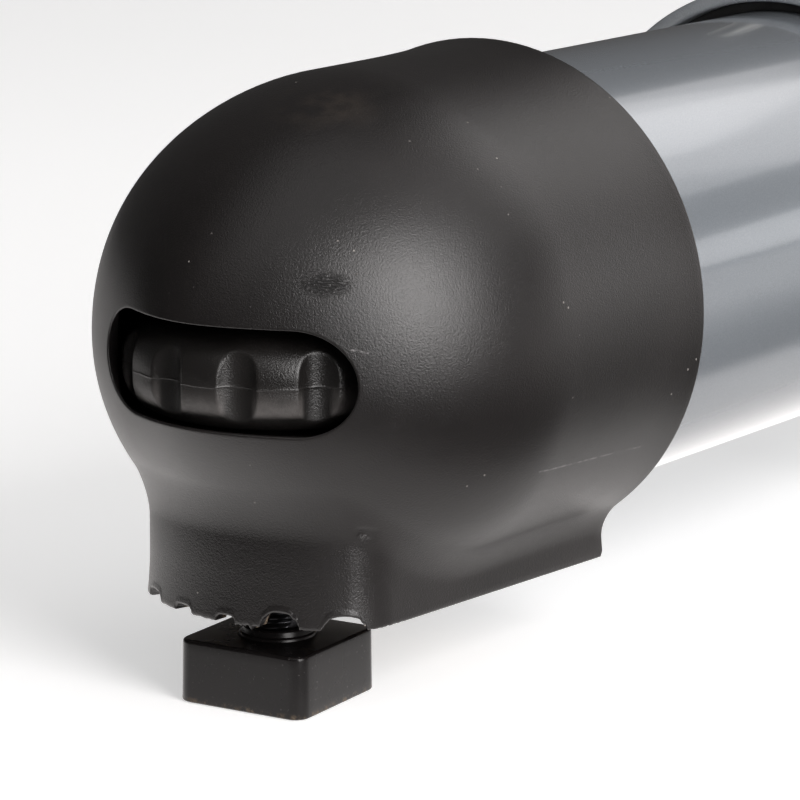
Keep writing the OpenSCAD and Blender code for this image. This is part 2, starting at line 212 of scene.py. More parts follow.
def piece(name, shells, body, material, nodes, sharp=40):
    """Joins closed shells, in millimetres of the row's frame, into one smooth piece."""
    counts = np.cumsum([0] + [len(points) for points, _ in shells])
    points = np.concatenate([points for points, _ in shells]) * MM
    quads = np.concatenate([quads + start for (_, quads), start in zip(shells, counts)])
    mesh = bpy.data.meshes.new(name)
    mesh.vertices.add(len(points))
    mesh.vertices.foreach_set("co", points.astype(np.float32).ravel())
    mesh.loops.add(quads.size)
    mesh.loops.foreach_set("vertex_index", quads.astype(np.int32).ravel())
    mesh.polygons.add(len(quads))
    mesh.polygons.foreach_set("loop_start", np.arange(0, quads.size, 4, dtype=np.int32))
    mesh.update(calc_edges=True)
    work = bmesh.new()
    work.from_mesh(mesh)
    bmesh.ops.remove_doubles(work, verts=work.verts, dist=1e-7)
    bmesh.ops.dissolve_degenerate(work, edges=work.edges, dist=1e-7)
    work.to_mesh(mesh)
    work.free()
    mesh.polygons.foreach_set("use_smooth", np.ones(len(mesh.polygons), bool))
    mesh.set_sharp_from_angle(angle=math.radians(sharp))
    mesh.materials.append(material)
    made = bpy.data.objects.new(name, mesh)
    bpy.context.scene.collection.objects.link(made)
    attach(made, body)
    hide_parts(*nodes)


def finish_node(node, material):
    """Gives a CAD node its finish."""
    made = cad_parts[node]
    made.data.materials.clear()
    made.data.materials.append(material)


def full_turn(steps):
    """Evenly spaced angles once round."""
    return np.linspace(0, 2 * np.pi, steps, endpoint=False)


def polar(radius, turn, height):
    """Points at a radius and a turn from the upright axis, and at a height."""
    return np.stack([radius * np.cos(turn), radius * np.sin(turn), height + 0 * turn], -1)


def set_down(points, side):
    """Moves points from an end's own frame to the row's; the right end is the left one turned half round."""
    way = 1 if side == "left" else -1
    x, y, z = np.moveaxis(points, -1, 0)
    return np.stack([way * (x - RIM_X), way * y, z + AXIS_Z], -1)


def at_lever(points, turn):
    """Turns points about the leveller's upright axis and moves them onto it."""
    x, y, z = np.moveaxis(points, -1, 0)
    c, s = math.cos(turn), math.sin(turn)
    return np.stack([LEVER_X + c * x - s * y, s * x + c * y, z], -1)


def eased(corners, radius, steps=4, closed=True):
    """A polyline with each corner replaced by a parabola between points radius before and after it."""
    p = np.asarray(corners, float)
    before, after = np.roll(p, 1, 0), np.roll(p, -1, 0)
    radius = np.broadcast_to(np.asarray(radius, float), len(p))[:, None]
    step_in, step_out = before - p, after - p
    run_in = np.linalg.norm(step_in, axis=1, keepdims=True) + 1e-12
    run_out = np.linalg.norm(step_out, axis=1, keepdims=True) + 1e-12
    start = p + step_in / run_in * np.minimum(radius, run_in * 0.49)
    end = p + step_out / run_out * np.minimum(radius, run_out * 0.49)
    t = np.linspace(0, 1, steps + 1)[None, :, None]
    bends = (1 - t) ** 2 * start[:, None] + 2 * t * (1 - t) * p[:, None] + t**2 * end[:, None]
    if not closed:
        bends[0] = p[0]
        bends[-1] = p[-1]
    return bends.reshape(-1, p.shape[1])


def turned(section, steps=96):
    """A section of (radius, height) rows turned about the upright axis."""
    return polar(section[:, :1], full_turn(steps), section[:, 1:])


def threaded(radius, pitch, low, high, held=None):
    """Rings of a thread's points: the radius falls by the thread's depth with the distance from the
    crest of a helix, and may be held back further at some angles."""
    z, turn = np.arange(low, high, pitch / 9)[:, None], full_turn(THREAD_STEPS)
    tooth = np.abs(np.mod(z / pitch - turn / (2 * np.pi), 1.0) - 0.5) * 2
    r = radius - 0.55 * np.clip(tooth * 1.25 - 0.12, 0, 1)
    return polar(held(r) if held else r, turn, z)


def slide_along(form, level, origin, toward, far=95.0, near=0.0):
    """Point on each ray where the form's distance reaches the level, found by halving the stretch
    that holds it."""
    origin, toward = np.broadcast_arrays(np.asarray(origin, float), toward)
    low = np.full(toward.shape[:-1], float(near))
    high = np.full(toward.shape[:-1], float(far))
    for _ in range(30):
        half = (low + high) / 2
        inside = form(origin + toward * half[..., None]) < level
        low, high = np.where(inside, half, low), np.where(inside, high, half)
    return origin + toward * high[..., None]


def unit(v):
    return v / np.linalg.norm(v, axis=-1, keepdims=True)


def level_ways(turn):
    """Level directions at the given turns from x."""
    return polar(1.0, turn, 0.0)


def upright_ways(turn):
    """Directions across the tube at the given turns from y."""
    return np.stack([0 * turn, np.cos(turn), np.sin(turn)], -1)


def waves(at, seed, pitch):
    """A smooth unsteady line about zero: five sines whose pitches shrink from the given one, each
    with its own start."""
    rng = np.random.default_rng(seed)
    at = np.asarray(at, float)
    total = np.zeros_like(at)
    for k in range(5):
        total += np.sin(2 * np.pi * at / (pitch * 0.62**k) + rng.uniform(0, 6.28)) * 0.75**k
    return total / 2


# ---- The cap's form ----

# Where the worn marks lie on the moulding, as directions from its middle
MARKS = {
    "smudge": (-0.27, -0.10, 0.95),
    "scuff": (-0.746, -0.421, 0.516),
    "scratch_a": (-0.027, -0.974, -0.225),
    "scratch_b": (0.614, -0.759, -0.215),
    "scratch_c": (-0.765, -0.552, 0.332),
    "scratch_d": (-0.734, -0.598, 0.323),
}


class CapForm:
    """Distances to the cap's outside, in an end's own frame and in millimetres."""

    def __init__(self, sizes):
        for key in sizes.__annotations__:
            value = getattr(sizes, key)
            setattr(self, key, value if key.endswith(("_start", "_end", "_tilt")) else value / MM)
        past_cad, boss_back = 1.4, 12.7
        self.tip = CAP_TIP - past_cad
        self.nose_x = self.tip + self.nose_length
        self.boss_x = self.tip + boss_back + self.boss_radius
        self.centre = np.array([-40.0, 0.0, -10.0])
        self.side = "left"
        self.dimple = self.skin_point((-0.697, -0.575, -0.428))

    def skin_point(self, way):
        """Where a ray from the form's middle leaves its outside."""
        return slide_along(self.outside, 0.0, self.centre, unit(np.array([way], float)), near=5)[0]

    def mark(self, name):
        """A mark's place on this side's cap, in metres of the row's frame."""
        return tuple(set_down(self.skin_point(MARKS[name]), self.side) * MM)

    def underside(self, x):
        """Height of the slightly sloping bottom edge."""
        drop, slope, longest = 0.85, 0.0210, 90.0
        return CAP_UNDER - drop + slope * np.clip(-x, 0, longest)

    def radius_at(self, x, angle):
        """Radius round the tube's axis: the barrel's times (1 - share^m)^(1/n), where share runs
        from 0 at the nose's start to 1 at its tip and m and n pass from their side values to the
        upper or lower ones with the angle's sine squared, plus a flare dying out from the rim."""
        share = np.clip((self.nose_x - x) / self.nose_length, 0, 1)
        lift, above = np.sin(angle) ** 2, np.sin(angle) > 0
        m = self.side_start + (np.where(above, self.top_start, self.chin_start) - self.side_start) * lift
        n = self.side_end + (np.where(above, self.top_end, self.chin_end) - self.side_end) * lift
        flare = self.flare * np.exp(np.minimum(x, 0) / self.flare_run) * (1 - share)
        return self.barrel_radius * (1 - share**m) ** (1 / n) + flare

    def nose_step(self, p):
        return np.hypot(p[..., 1], p[..., 2]) - self.radius_at(p[..., 0], np.arctan2(p[..., 2], p[..., 1]))

    def nose(self, p):
        """The step to the nose's radius, divided by its slope to make it a distance."""
        step, small = self.nose_step(p), 0.02
        slope = [(self.nose_step(p + small * way) - step) / small for way in np.eye(3)]
        return step / np.sqrt(sum(s * s for s in slope) + 1e-9)

    def boss(self, p):
        """An upright block that starts inside the nose, rounded in front, whose front corners are eased
        and whose foot spreads a little."""
        x, y, z = np.moveaxis(p, -1, 0)
        spread_from, spread_run, taper, top, ease = -34.0, 8.0, 0.018, -10.0, 3.0
        spread = 0.45 * np.clip((spread_from - z) / spread_run, 0, 1.3) ** 2
        side = np.abs(y) - self.boss_half - taper * x - spread
        front = np.where(x < self.boss_x, np.hypot(x - self.boss_x, y), np.abs(y)) - self.boss_radius - spread
        outer = np.hypot(np.maximum(side + ease, 0), np.maximum(front + ease, 0))
        return np.maximum(np.minimum(np.maximum(side, front), -ease) + outer, z - top)

    def outside(self, p):
        """Nose and boss together, with a hollow round fillet between them."""
        a, b, r = self.nose(p), self.boss(p), self.fillet
        return np.maximum(r, np.minimum(a, b)) - np.hypot(np.maximum(r - a, 0), np.maximum(r - b, 0))

    def mid_wall(self, p):
        """Distance to the middle of the moulded wall."""
        return self.outside(p) + self.wall / 2

    def notch_lift(self, x, y):
        """Height of the bottom edge above its plane: five worn arches round the boss's front, each
        h (1 - |offset / half width|^p)^(1/2), on an unsteady edge."""
        along = np.arctan2(y, -(x - self.boss_x)) * self.boss_radius
        front = (x < self.boss_x - 12.0).astype(float)
        lift = 0.13 * np.abs(waves(along, 3, 2.9)) * front
        arches = (
            (-20.9, 3.55, 0.86, 2.3),
            (-10.6, 3.05, 0.95, 2.6),
            (-1.3, 1.95, 0.44, 3.2),
            (7.9, 2.2, 0.46, 5.0),
            (17.4, 2.7, 0.60, 4.0),
        )
        for middle_at, half, tall, fullness in arches:
            offset = np.abs((along - middle_at + 0.22 * waves(along, int(middle_at * 3 + 90), 1.7)) / half)
            arch = self.notch_height * tall * np.sqrt(np.clip(1 - offset**fullness, 0, None))
            lift = np.maximum(lift, arch * front)
        frayed = np.clip(waves(along, 11, 1.5) - 0.3, 0, 1) * np.exp(-(((along + 5.4) / 2.4) ** 2))
        return lift - 0.9 * frayed * front

    def slot_line(self, share, grow=0.0):
        """Point of the slot's outline, a level run with round ends, at a share of its length.

        Share 0 is the middle of the right end, and 0.25 the middle of the lower edge.
        """
        r = self.slot_height / 2
        run = self.slot_width / 2 - r
        quarter = np.pi * r / 2
        s = np.mod(share, 1.0) * (4 * quarter + 4 * run)
        ends = np.cumsum([quarter, 2 * run, 2 * quarter, 2 * run])
        part = np.searchsorted(ends, s, side="right")
        down, up = -np.pi / 2, np.pi / 2
        turn = np.choose(part, [np.pi + s / r, down, down + (s - ends[1]) / r, up, up + (s - ends[3]) / r])
        bend_y = np.choose(part, [-run, -run + (s - ends[0]), run, run - (s - ends[2]), -run])
        y, z = bend_y + (r + grow) * np.cos(turn), (r + grow) * np.sin(turn)
        return y + self.slot_shift, z + self.slot_rise + self.slot_tilt * y

    def front_point(self, y, z, level):
        """The form's front surface, or one a wall behind it, straight ahead of (y, z)."""
        start = np.stack([np.full_like(y, -45.0), y, z], -1)
        return slide_along(self.outside, level, start, (-1.0, 0, 0), far=45)


def spaced(points, gap_at, count):
    """Shares of a curve that put points closer where gap_at is small: even steps of the summed
    length over gap."""
    run = np.linalg.norm(np.diff(points, axis=0), axis=1)
    gap = gap_at((points[1:] + points[:-1]) / 2)
    travel = np.concatenate([[0], np.cumsum(run / gap)])
    return np.interp(np.linspace(0, travel[-1], count), travel, np.linspace(0, 1, len(points)))


class CapEdge:
    """The cap's open edge: along the bottom from the rim's right corner round the front to the left
    one, then up and round the rim. Every curve has the same number of points, side by side."""

    def __init__(self, form):
        self.form = form
        along_bottom, along_rim = 236, 128
        fine = np.linspace(0, 1, 3000)
        bottom = self.bottom(0.0, 0.0, 0.0, fine)
        front_depth, slot_end = 11.0, 0.115
        front = form.boss_x - front_depth
        self.low = spaced(bottom, lambda p: np.where(p[:, 0] < front, 0.40, 1.9), along_bottom)
        rim = self.rim(0.0, 0.0, 0.0, fine)
        shares = spaced(rim, lambda p: np.where(p[:, 2] < -24, 1.0, 2.4), along_rim + 2)
        self.high = shares[1:-1]
        # The slot's lower half belongs to the bottom's points, its upper half to the rim's
        bottom_x = np.interp(self.low, fine, bottom[:, 0])
        sides = int((bottom_x > front).sum() // 2)
        low = np.concatenate(
            [
                np.linspace(0.0, slot_end, sides, endpoint=False),
                np.linspace(slot_end, 0.5 - slot_end, len(bottom_x) - 2 * sides, endpoint=False),
                np.linspace(0.5 - slot_end, 0.5, sides),
            ]
        )
        high = np.linspace(0.5, 1.0, along_rim + 2)[1:-1]
        self.slot = np.concatenate([low, high])

    def corner(self, level, back, lift):
        """Where the boss's side wall meets the bottom plane, at the rim."""
        z = float(self.form.underside(np.array(back))) + lift
        return slide_along(self.form.boss, level, (back, 0.0, z), np.array([[0, 1.0, 0]]), far=60)[0]

    def bottom(self, level, back, lift, shares):
        """Rays in the bottom plane from a point under the nose, swung from corner to corner by way
        of the front."""
        base_x = self.form.centre[0]
        corner = self.corner(level, back, lift)
        first = math.atan2(-corner[1], back - base_x)
        turn = first - shares * (2 * math.pi + 2 * first)
        flat = slide_along(self.form.boss, level, (base_x, 0, CAP_UNDER + 1.0), level_ways(turn), far=90)
        lifted = self.form.notch_lift(flat[:, 0], flat[:, 1])
        flat[:, 2] = self.form.underside(flat[:, 0]) + np.maximum(lift, 0) + lifted
        return flat

    def rim(self, level, back, lift, shares):
        """Rays in the rim plane from a point under the axis, swung from corner to corner over the top."""
        corner = self.corner(level, back, lift)
        low = self.form.centre[2]
        first = math.atan2(corner[2] - low, corner[1])
        turn = first + shares * (math.pi - 2 * first)
        return slide_along(self.form.outside, level, (back, 0, low), upright_ways(turn), far=80)

    def curve(self, level, back, lift):
        """The whole open edge on the surface at a level, a step back from the rim and up from the bottom."""
        bottom = self.bottom(level, back, lift, self.low)
        return np.concatenate([bottom, self.rim(level, back, lift, self.high)])


def swung(start, end, shares, centre):
    """Directions on the arcs from start to end about a centre, at given shares of each arc's angle."""
    a, b = unit(start - centre), unit(end - centre)
    angle = np.arccos(np.clip((a * b).sum(-1), -1, 1))[None, :, None]
    share = shares[:, None, None]
    return (np.sin((1 - share) * angle) * a + np.sin(share * angle) * b) / np.sin(angle)


def parabola(a, b, c, steps):
    """Rows of points that leave a towards b and arrive at c."""
    t = np.linspace(0, 1, steps)[:, None, None]
    return (1 - t) ** 2 * a + 2 * t * (1 - t) * b + t**2 * c


def clear_of_wheel(points, form):
    """Pushes inner-wall points out of the thumbwheel's round chamber, but not out through the skin."""
    gap = np.stack([points[..., 0] - LEVER_X, points[..., 1]], -1)
    away = np.linalg.norm(gap, axis=-1)
    room, thinnest_wall = 25.25, 0.7
    level = (points[..., 2] > LOWER_WEB - 0.4) & (points[..., 2] < UPPER_WEB + 0.1)
    grow = np.where(level & (away < room), room / np.maximum(away, 1e-6), 1.0)
    moved = points.copy()
    moved[..., 0] = LEVER_X + gap[..., 0] * grow
    moved[..., 1] = gap[..., 1] * grow
    return slide_along(form.outside, -thinnest_wall, points, moved - points, far=1.0)


def cap_shell(form):
    """The moulded wall as one closed ring of rows: out over the slot's lip, over the nose and boss to
    the open edge, round that edge, back along the inner wall, and out through the slot's wall.

    Between lip and edge each row is the form's surface on rays swung from one to the other.
    """
    edge = CapEdge(form)
    e = form.edge
    y, z = form.slot_line(edge.slot)
    corner = form.front_point(y, z, 0.0)
    out_y, out_z = form.slot_line(edge.slot, form.lip)
    lip_out = form.front_point(out_y, out_z, 0.0)
    lip_in = corner + np.array([form.lip, 0, 0])
    wall_end = form.front_point(y, z, -form.wall)
    wall_end[:, 0] = np.maximum(wall_end[:, 0], lip_in[:, 0] + 0.6)
    lip = parabola(lip_in, corner, lip_out, 7)
    skin_end = edge.curve(0.0, -e, e)
    skin_corner = edge.curve(0.0, 0.0, 0.0)
    face_out = edge.curve(-e, 0.0, 0.0)
    face_in = edge.curve(-form.wall, 0.0, 0.0)
    t = np.linspace(0, 1, 96)
    shares = t - 0.10 * np.sin(2 * np.pi * t) / (2 * np.pi)
    rays = swung(lip_out, skin_end, shares[1:-1], form.centre)
    skin = dimpled(slide_along(form.outside, 0.0, form.centre, rays, near=5), form)
    rim_edge = parabola(skin_end, skin_corner, face_out, 5)
    shares = np.linspace(0, 1, 40)
    rays = swung(wall_end, face_in, shares[1:-1], form.centre)
    inner = slide_along(form.outside, -form.wall, form.centre, rays, near=4)
    inner = clear_of_wheel(inner, form)[::-1]
    wall_end = clear_of_wheel(wall_end, form)
    walls = wall_end + (lip_in - wall_end) * np.linspace(0, 1, 5)[:-1, None, None]
    return np.concatenate([lip[:-1], lip_out[None], skin, rim_edge, face_in[None], inner, walls])


def dimpled(points, form):
    """A small round dent beside the boss's front corner, as deep as exp(-(distance / size)^4)."""
    at = form.dimple
    away = np.linalg.norm(points - at, axis=-1)
    dent = 0.55 * np.exp(-((away / 0.95) ** 4))
    inwards = unit(form.centre + np.array([-20, 0, 0]) - at)
    return points + dent[..., None] * inwards


def cap_sleeve(form):
    """The sleeve and block round the tube: rings along its outside, and back along its bore."""
    step_back, sink, ways = 0.15, 0.5, upright_ways(full_turn(180))

    def section(x, radius):
        """A circle round the tube's axis or, without a radius, the outline of the sleeve and its block."""
        under = float(form.underside(np.array(x))) + step_back

        def gap(p):
            if radius:
                return np.hypot(p[..., 1], p[..., 2]) - radius
            return np.maximum(form.outside(p) + form.wall - sink, under - p[..., 2])

        return slide_along(gap, 0, (x, 0, form.centre[2]), ways, far=60)

    bore, seat = TUBE_R + 0.1, TUBE_R - 1.5
    outer = [section(x, None) for x in (-step_back, -3.0, -7.0, -12.0, -20.0, -36.0)]
    inner = [section(x, r) for x, r in ((-36.0, seat), (-33.0, seat), (-33.0, bore), (-step_back, bore))]
    return shell(np.stack(outer + inner))


def cap_webs(form):
    """The webs over and under the thumbwheel, each a plate round the stem's hole that reaches to the
    middle of the wall and is cut off short of the tube."""
    thick, off, up = 3.45, 0.05, np.array([0, 0, 1.0])
    ways = level_ways(full_turn(180))

    def gap(p):
        return np.maximum(form.mid_wall(p), p[..., 0] - WEB_END)

    shells = []
    for low, hole in ((UPPER_WEB + off, 7.5), (LOWER_WEB - off - 3.5, 5.1)):
        high = low + thick
        ring = np.array([LEVER_X, 0, 0]) + hole * ways
        outer = [slide_along(gap, 0, (LEVER_X, 0, z), ways, far=60) for z in (low, high)]
        shells.append(shell(np.stack([ring + up * low, *outer, ring + up * high])))
    return shells


def cap_ribs(form):
    """Two upright ribs that stand on the upper web and reach to the middle of the wall."""
    x = np.linspace(-74, WEB_END, 24)
    shells = []
    for side in (-1, 1):
        foot = np.stack([x, np.full_like(x, side * 15.0), np.full_like(x, UPPER_WEB + 3.3)], -1)
        top = slide_along(form.mid_wall, 0, foot, (0, 0, 1.0), far=60)
        across = np.array([0, 1.25, 0])
        rows = np.stack([foot - across, foot + across, top + across, top - across])
        first, last = (rows[:, at].mean(0).reshape(1, 1, 3).repeat(4, 0) for at in (0, -1))
        shells.append(shell(np.concatenate([first, rows, last], 1), wrap_cols=False))
    return shells


# ---- The leveller's forms ----


def wheel_grid(sizes):
    """The thumbwheel: a rounded rim on a hub, turned about the stem, its radius held back to each
    scallop, an upright rod pressed in from outside: d cos a - sqrt(r^2 - (d sin a)^2) at an angle a
    from the scallop. The rim's rounded edges give the scallops their oval outlines."""
    radius, edge = sizes.wheel_radius / MM, sizes.wheel_edge / MM
    low = WHEEL_LOW
    high = low + RIM_TALL
    mid = (low + high) / 2
    bend = np.linspace(0, np.pi / 2, 26)
    lower = np.stack([radius - edge + edge * np.sin(bend), low + edge - edge * np.cos(bend)], -1)
    flat_low = np.linspace(low + edge, mid - 0.30, 5)[1:]
    seam = mid + np.array([-0.16, -0.08, 0.0, 0.08, 0.16])
    flat_high = np.linspace(mid + 0.30, high - edge, 5)[:-1]
    height = np.concatenate([flat_low, seam, flat_high])
    crown = 0.30 * ((height - mid) / 3.5) ** 2
    rim = np.stack([radius - crown * 0.35, height], -1)
    upper = np.stack([radius - edge + edge * np.cos(bend), high - edge + edge * np.sin(bend)], -1)
    hub, bore = 12.0, 5.3
    inner = eased(
        [
            (hub + 1.4, high), (hub, high + 0.4), (hub, HUB_TOP), (bore, HUB_TOP),
            (bore, low), (hub, low), (radius - edge - 4, low),
        ],
        [0.5, 0.5, 0.5, 0.3, 0.3, 0.1, 0.1],
        3,
        closed=False,
    )
    section = np.concatenate([lower, rim, upper, inner])
    count = sizes.scallops
    grid = turned(section, count * 52)
    angle = np.arctan2(grid[..., 1], grid[..., 0])
    r, z = np.hypot(grid[..., 0], grid[..., 1]), grid[..., 2]
    step = 2 * np.pi / count
    off = np.mod(angle + step / 2, step) - step / 2
    rod = sizes.scallop_radius / MM
    away = radius + rod - sizes.scallop_depth / MM
    inside = rod**2 - (away * np.sin(off)) ** 2
    pressed = np.where(inside > 0, away * np.cos(off) - np.sqrt(np.maximum(inside, 0)), radius + 9)
    soft = 0.30
    blend = np.maximum(soft - np.abs(r - pressed), 0) / soft
    held = np.minimum(r, pressed) - blend**2 * soft / 4
    on_rim = r > radius - edge - 0.1
    ridge = 0.10 * np.exp(-(((z - mid - 0.05 * waves(angle * radius, 5, 9.0)) / 0.10) ** 2))
    return polar(np.where(on_rim, held + ridge, r), angle, z)


def stem_grid(sizes):
    """The stem: a thread cut off by two flats, at half width / |sin angle|; a hexagon head closes
    the bottom."""
    radius, pitch = sizes.stem_radius / MM, sizes.pitch / MM
    half_flats, half_head = 4.0, 8.0
    head_top = STEM_LOW + 5.0
    angle = full_turn(THREAD_STEPS)
    head = half_head / np.maximum(np.cos(np.mod(angle, np.pi / 3) - np.pi / 6), 0.5)

    def keyed(r):
        """A radius held back by the two flats."""
        return np.minimum(r, half_flats / np.maximum(np.abs(np.sin(angle)), 1e-3))

    body = threaded(radius, pitch, head_top + 0.6, STEM_HIGH - 0.5, keyed)
    neck, tip = keyed(radius - 0.1), keyed(radius - 0.6)
    below = [(0 * head, STEM_LOW), (head - 0.5, STEM_LOW), (head, STEM_LOW + 0.5)]
    below += [(head, head_top - 0.4), (head - 0.4, head_top), (neck, head_top)]
    above = [(tip, STEM_HIGH), (0 * tip, STEM_HIGH)]
    low_rows, high_rows = (np.stack([polar(r, angle, h) for r, h in rows]) for rows in (below, above))
    return np.concatenate([low_rows, body, high_rows])


def plate_ring(half_x, half_y, corner, steps=12, flats=10):
    """Points round a rectangle with round corners, the same number on every size: each corner's arc,
    then the side that follows it."""
    turn = np.linspace(0, np.pi / 2, steps)
    share = np.linspace(1, -1, flats + 2)[1:-1]
    reach = np.array([half_x, half_y]) - corner
    parts = []
    for k, sign in enumerate(np.array([(1, 1), (-1, 1), (-1, -1), (1, -1)])):
        a = turn + k * np.pi / 2
        parts.append(sign * reach + corner * np.stack([np.cos(a), np.sin(a)], -1))
        run = sign[k % 2] * reach[k % 2] * share
        level = np.full(flats, sign[1 - k % 2] * (half_x, half_y)[1 - k % 2])
        parts.append(np.stack([run, level] if k % 2 == 0 else [level, run], -1))
    return np.concatenate(parts)


def foot_grid(sizes):
    """The foot: rows that pass from circles round the stem to the square outline, by a mix of the two
    at the same angle, then down the drafted sides and back under to the bore."""
    half, corner = sizes.foot_half / MM, sizes.foot_corner / MM
    top, low = FOOT_HIGH - COLLAR_TALL, SOLE_LOW + 0.08
    draft, round_off = 0.13, 0.62
    square = plate_ring(half, half, corner)
    turn = np.arctan2(square[:, 1], square[:, 0])
    circle = np.stack([np.cos(turn), np.sin(turn)], -1)
    reach = np.hypot(square[:, 0], square[:, 1])[:, None]

    def round_row(r, z):
        return np.concatenate([circle * r, np.full((len(turn), 1), z)], 1)

    def square_row(inset, z):
        ring = plate_ring(half - inset, half - inset, max(corner - inset, 0.25))
        return np.concatenate([ring, np.full((len(turn), 1), z)], 1)

    def mixed_row(r, share, z):
        flat = circle * (r + (reach - draft - round_off - r) * share)
        return np.concatenate([flat, np.full((len(turn), 1), z)], 1)

    collar = eased(
        [(4.8, COLLAR_TALL), (5.7, COLLAR_TALL), (5.8, 0.5), (6.2, 0.4), (6.3, 0.0)],
        [0.05, 0.35, 0.15, 0.12, 0.1],
        3,
        closed=False,
    )
    rows = [round_row(r, top + h) for r, h in collar]
    rows += [mixed_row(6.5, s, top) for s in (0.0, 0.15, 0.4, 0.7, 1.0)]
    for b in np.linspace(0, np.pi / 2, 7):
        rows.append(square_row(draft + round_off * (1 - math.sin(b)), top - round_off * (1 - math.cos(b))))
    for share in np.arange(1, 7) / 6:
        rows.append(square_row(draft * (1 - share), top - round_off + (low + 1.0 - top) * share))
    for inset, h in ((0.02, 0.30), (0.12, 0.12), (0.32, 0.02), (0.55, 0.0)):
        rows.append(square_row(inset, low + h))
    rows += [mixed_row(4.8, s, low) for s in (0.9, 0.45)]
    rows += [round_row(4.8, low), round_row(4.8, (low + top) / 2)]
    return np.stack(rows)


def sole_grid():
    """The sole pad: a square slab whose lower face carries crossing grooves of cosine section."""
    low, high = SOLE_LOW, SOLE_HIGH
    half = 9.0
    line = np.linspace(-1, 1, 61)
    x, y = np.meshgrid(line * half, line * half, indexing="ij")
    inside = (1 - np.clip(np.maximum(np.abs(x), np.abs(y)) / half, 0, 1)) * half
    pitch = 3.6

    def groove(a):
        return np.clip(np.cos(2 * np.pi * a / pitch) * 1.6 - 0.85, 0, 0.75)

    depth = 0.5 * np.maximum(groove(x + y), groove(x - y)) * np.clip(inside - 1.0, 0, 1)
    under = np.stack([x, y, low + depth + 0.25 * np.clip(1 - inside / 0.3, 0, 1) ** 2], -1)
    over = np.stack([x, y, np.full_like(x, high)], -1)
    return under, over


def slab(under, over):
    """Two facing grids of points and the band round their edges, as one closed set of quads."""
    rows, cols = under.shape[:2]
    number = np.arange(rows * cols).reshape(rows, cols)
    rim = np.concatenate([number[0, :-1], number[:-1, -1], number[-1, :0:-1], number[:0:-1, 0]])
    after = np.roll(rim, -1)
    shift = rows * cols
    flat = quads_of(rows, cols)
    band = np.stack([rim, after, after + shift, rim + shift], -1)
    points = np.concatenate([under.reshape(-1, 3), over.reshape(-1, 3)])
    return outward(points, np.concatenate([flat, flat[:, ::-1] + shift, band[:, ::-1]]))


# ---- The crossbar's middle ----


def tube_grid():
    """The tube: a ring section with eased ends, turned about the crossbar's axis."""
    end, wall = TUBE_HIGH[0], 2.0
    section = eased([(TUBE_R, -end), (TUBE_R, end), (TUBE_R - wall, end), (TUBE_R - wall, -end)], 0.35, 4)
    rows = turned(section, 288)
    return np.stack([rows[..., 2], rows[..., 0], rows[..., 1] + AXIS_Z], -1)


def lean(points):
    """Leans points that stand over the crossbar's axis back to the saddle's slant."""
    x, y, z = np.moveaxis(points, -1, 0)
    a = LEAN
    return np.stack([x, y * math.cos(a) + z * math.sin(a), z * math.cos(a) - y * math.sin(a) + AXIS_Z], -1)


def saddle_sheet(inset, inner, outer, ease):
    """A sheet bent round the tube inside an outline with round corners: rows shrink from the outline to
    the middle on the outer face, and grow again on the inner one; a point stands at the root of r^2 - y^2."""
    bend = np.linspace(0, np.pi / 2, 6)[1:]
    shrink = np.concatenate([np.linspace(0, 1, 22)[:-1] ** 0.8, [1.0]])
    rows = [(s, ease, outer) for s in shrink]
    rows += [(1.0, ease * (1 - math.sin(b)), outer - ease * (1 - math.cos(b))) for b in bend]
    rows += [(1.0, ease * (1 - math.cos(b)), inner + ease * (1 - math.sin(b))) for b in bend]
    rows += [(s, ease, inner) for s in shrink[::-1]]
    grid = []
    for share, back, radius in rows:
        gone = inset + back
        ring = share * plate_ring(SADDLE_END - gone, SADDLE_HALF - gone, SADDLE_CORNER - back, 14, 30)
        grid.append(np.column_stack([ring, np.sqrt(radius**2 - ring[:, 1] ** 2)]))
    return lean(np.stack(grid))


def bolt_shells():
    """The two frame bolts: a low domed head under the tube, a shank through it, and a thread on the end."""
    head_r, head_tall, shank_r, pitch = 11.0, 5.0, 4.5, 1.5
    ball = (head_r**2 + head_tall**2) / (2 * head_tall)
    sweep = np.linspace(0, math.asin(head_r / ball), 12)
    head = np.stack([ball * np.sin(sweep), -TUBE_R - head_tall + ball * (1 - np.cos(sweep))], -1)
    end = stud_end()
    start = SADDLE_OUT + 1.3
    body = threaded(BOLT_R, pitch, start, end - 0.8)
    plain = np.concatenate([head, [(10.9, -TUBE_R + 0.02), (shank_r, -TUBE_R + 0.05), (shank_r, start)]])
    tip = np.array([(4.3, end), (0.0, end)])
    grid = np.concatenate([turned(plain, THREAD_STEPS), body, turned(tip, THREAD_STEPS)])
    return [shell(lean(grid + np.array([x, 0, 0])), wrap_rows=False) for x in (-BOLT_X, BOLT_X)]


def stud_end():
    """Distance of the bolts' ends from the crossbar's axis, along the saddle's lean."""
    high = span("frame_bolts")[1][2]
    return (high - AXIS_Z - BOLT_R * math.sin(LEAN)) / math.cos(LEAN)


def retainer_shells():
    """Push-on retainers: a dished ring whose inner edge is cut into springy tongues by narrow slits."""
    under = [(4.55, 0.5), (6.4, 0.3), (8.2, 0.0), (9.5, 0.0)]
    over = [(9.5, 0.7), (8.4, 0.75), (6.6, 1.0), (4.55, 1.1)]
    grid = turned(eased(under + over, 0.2, 3), 144)
    angle = np.arctan2(grid[..., 1], grid[..., 0])
    radius = np.hypot(grid[..., 0], grid[..., 1])
    slit = np.clip(np.cos(angle * 6) * 6 - 5.1, 0, 1) * np.clip((7.2 - radius) / 1.4, 0, 1)
    grid[..., 2] -= 0.4 * slit
    return [shell(lean(grid + np.array([x, 0, SADDLE_OUT]))) for x in (-BOLT_X, BOLT_X)]


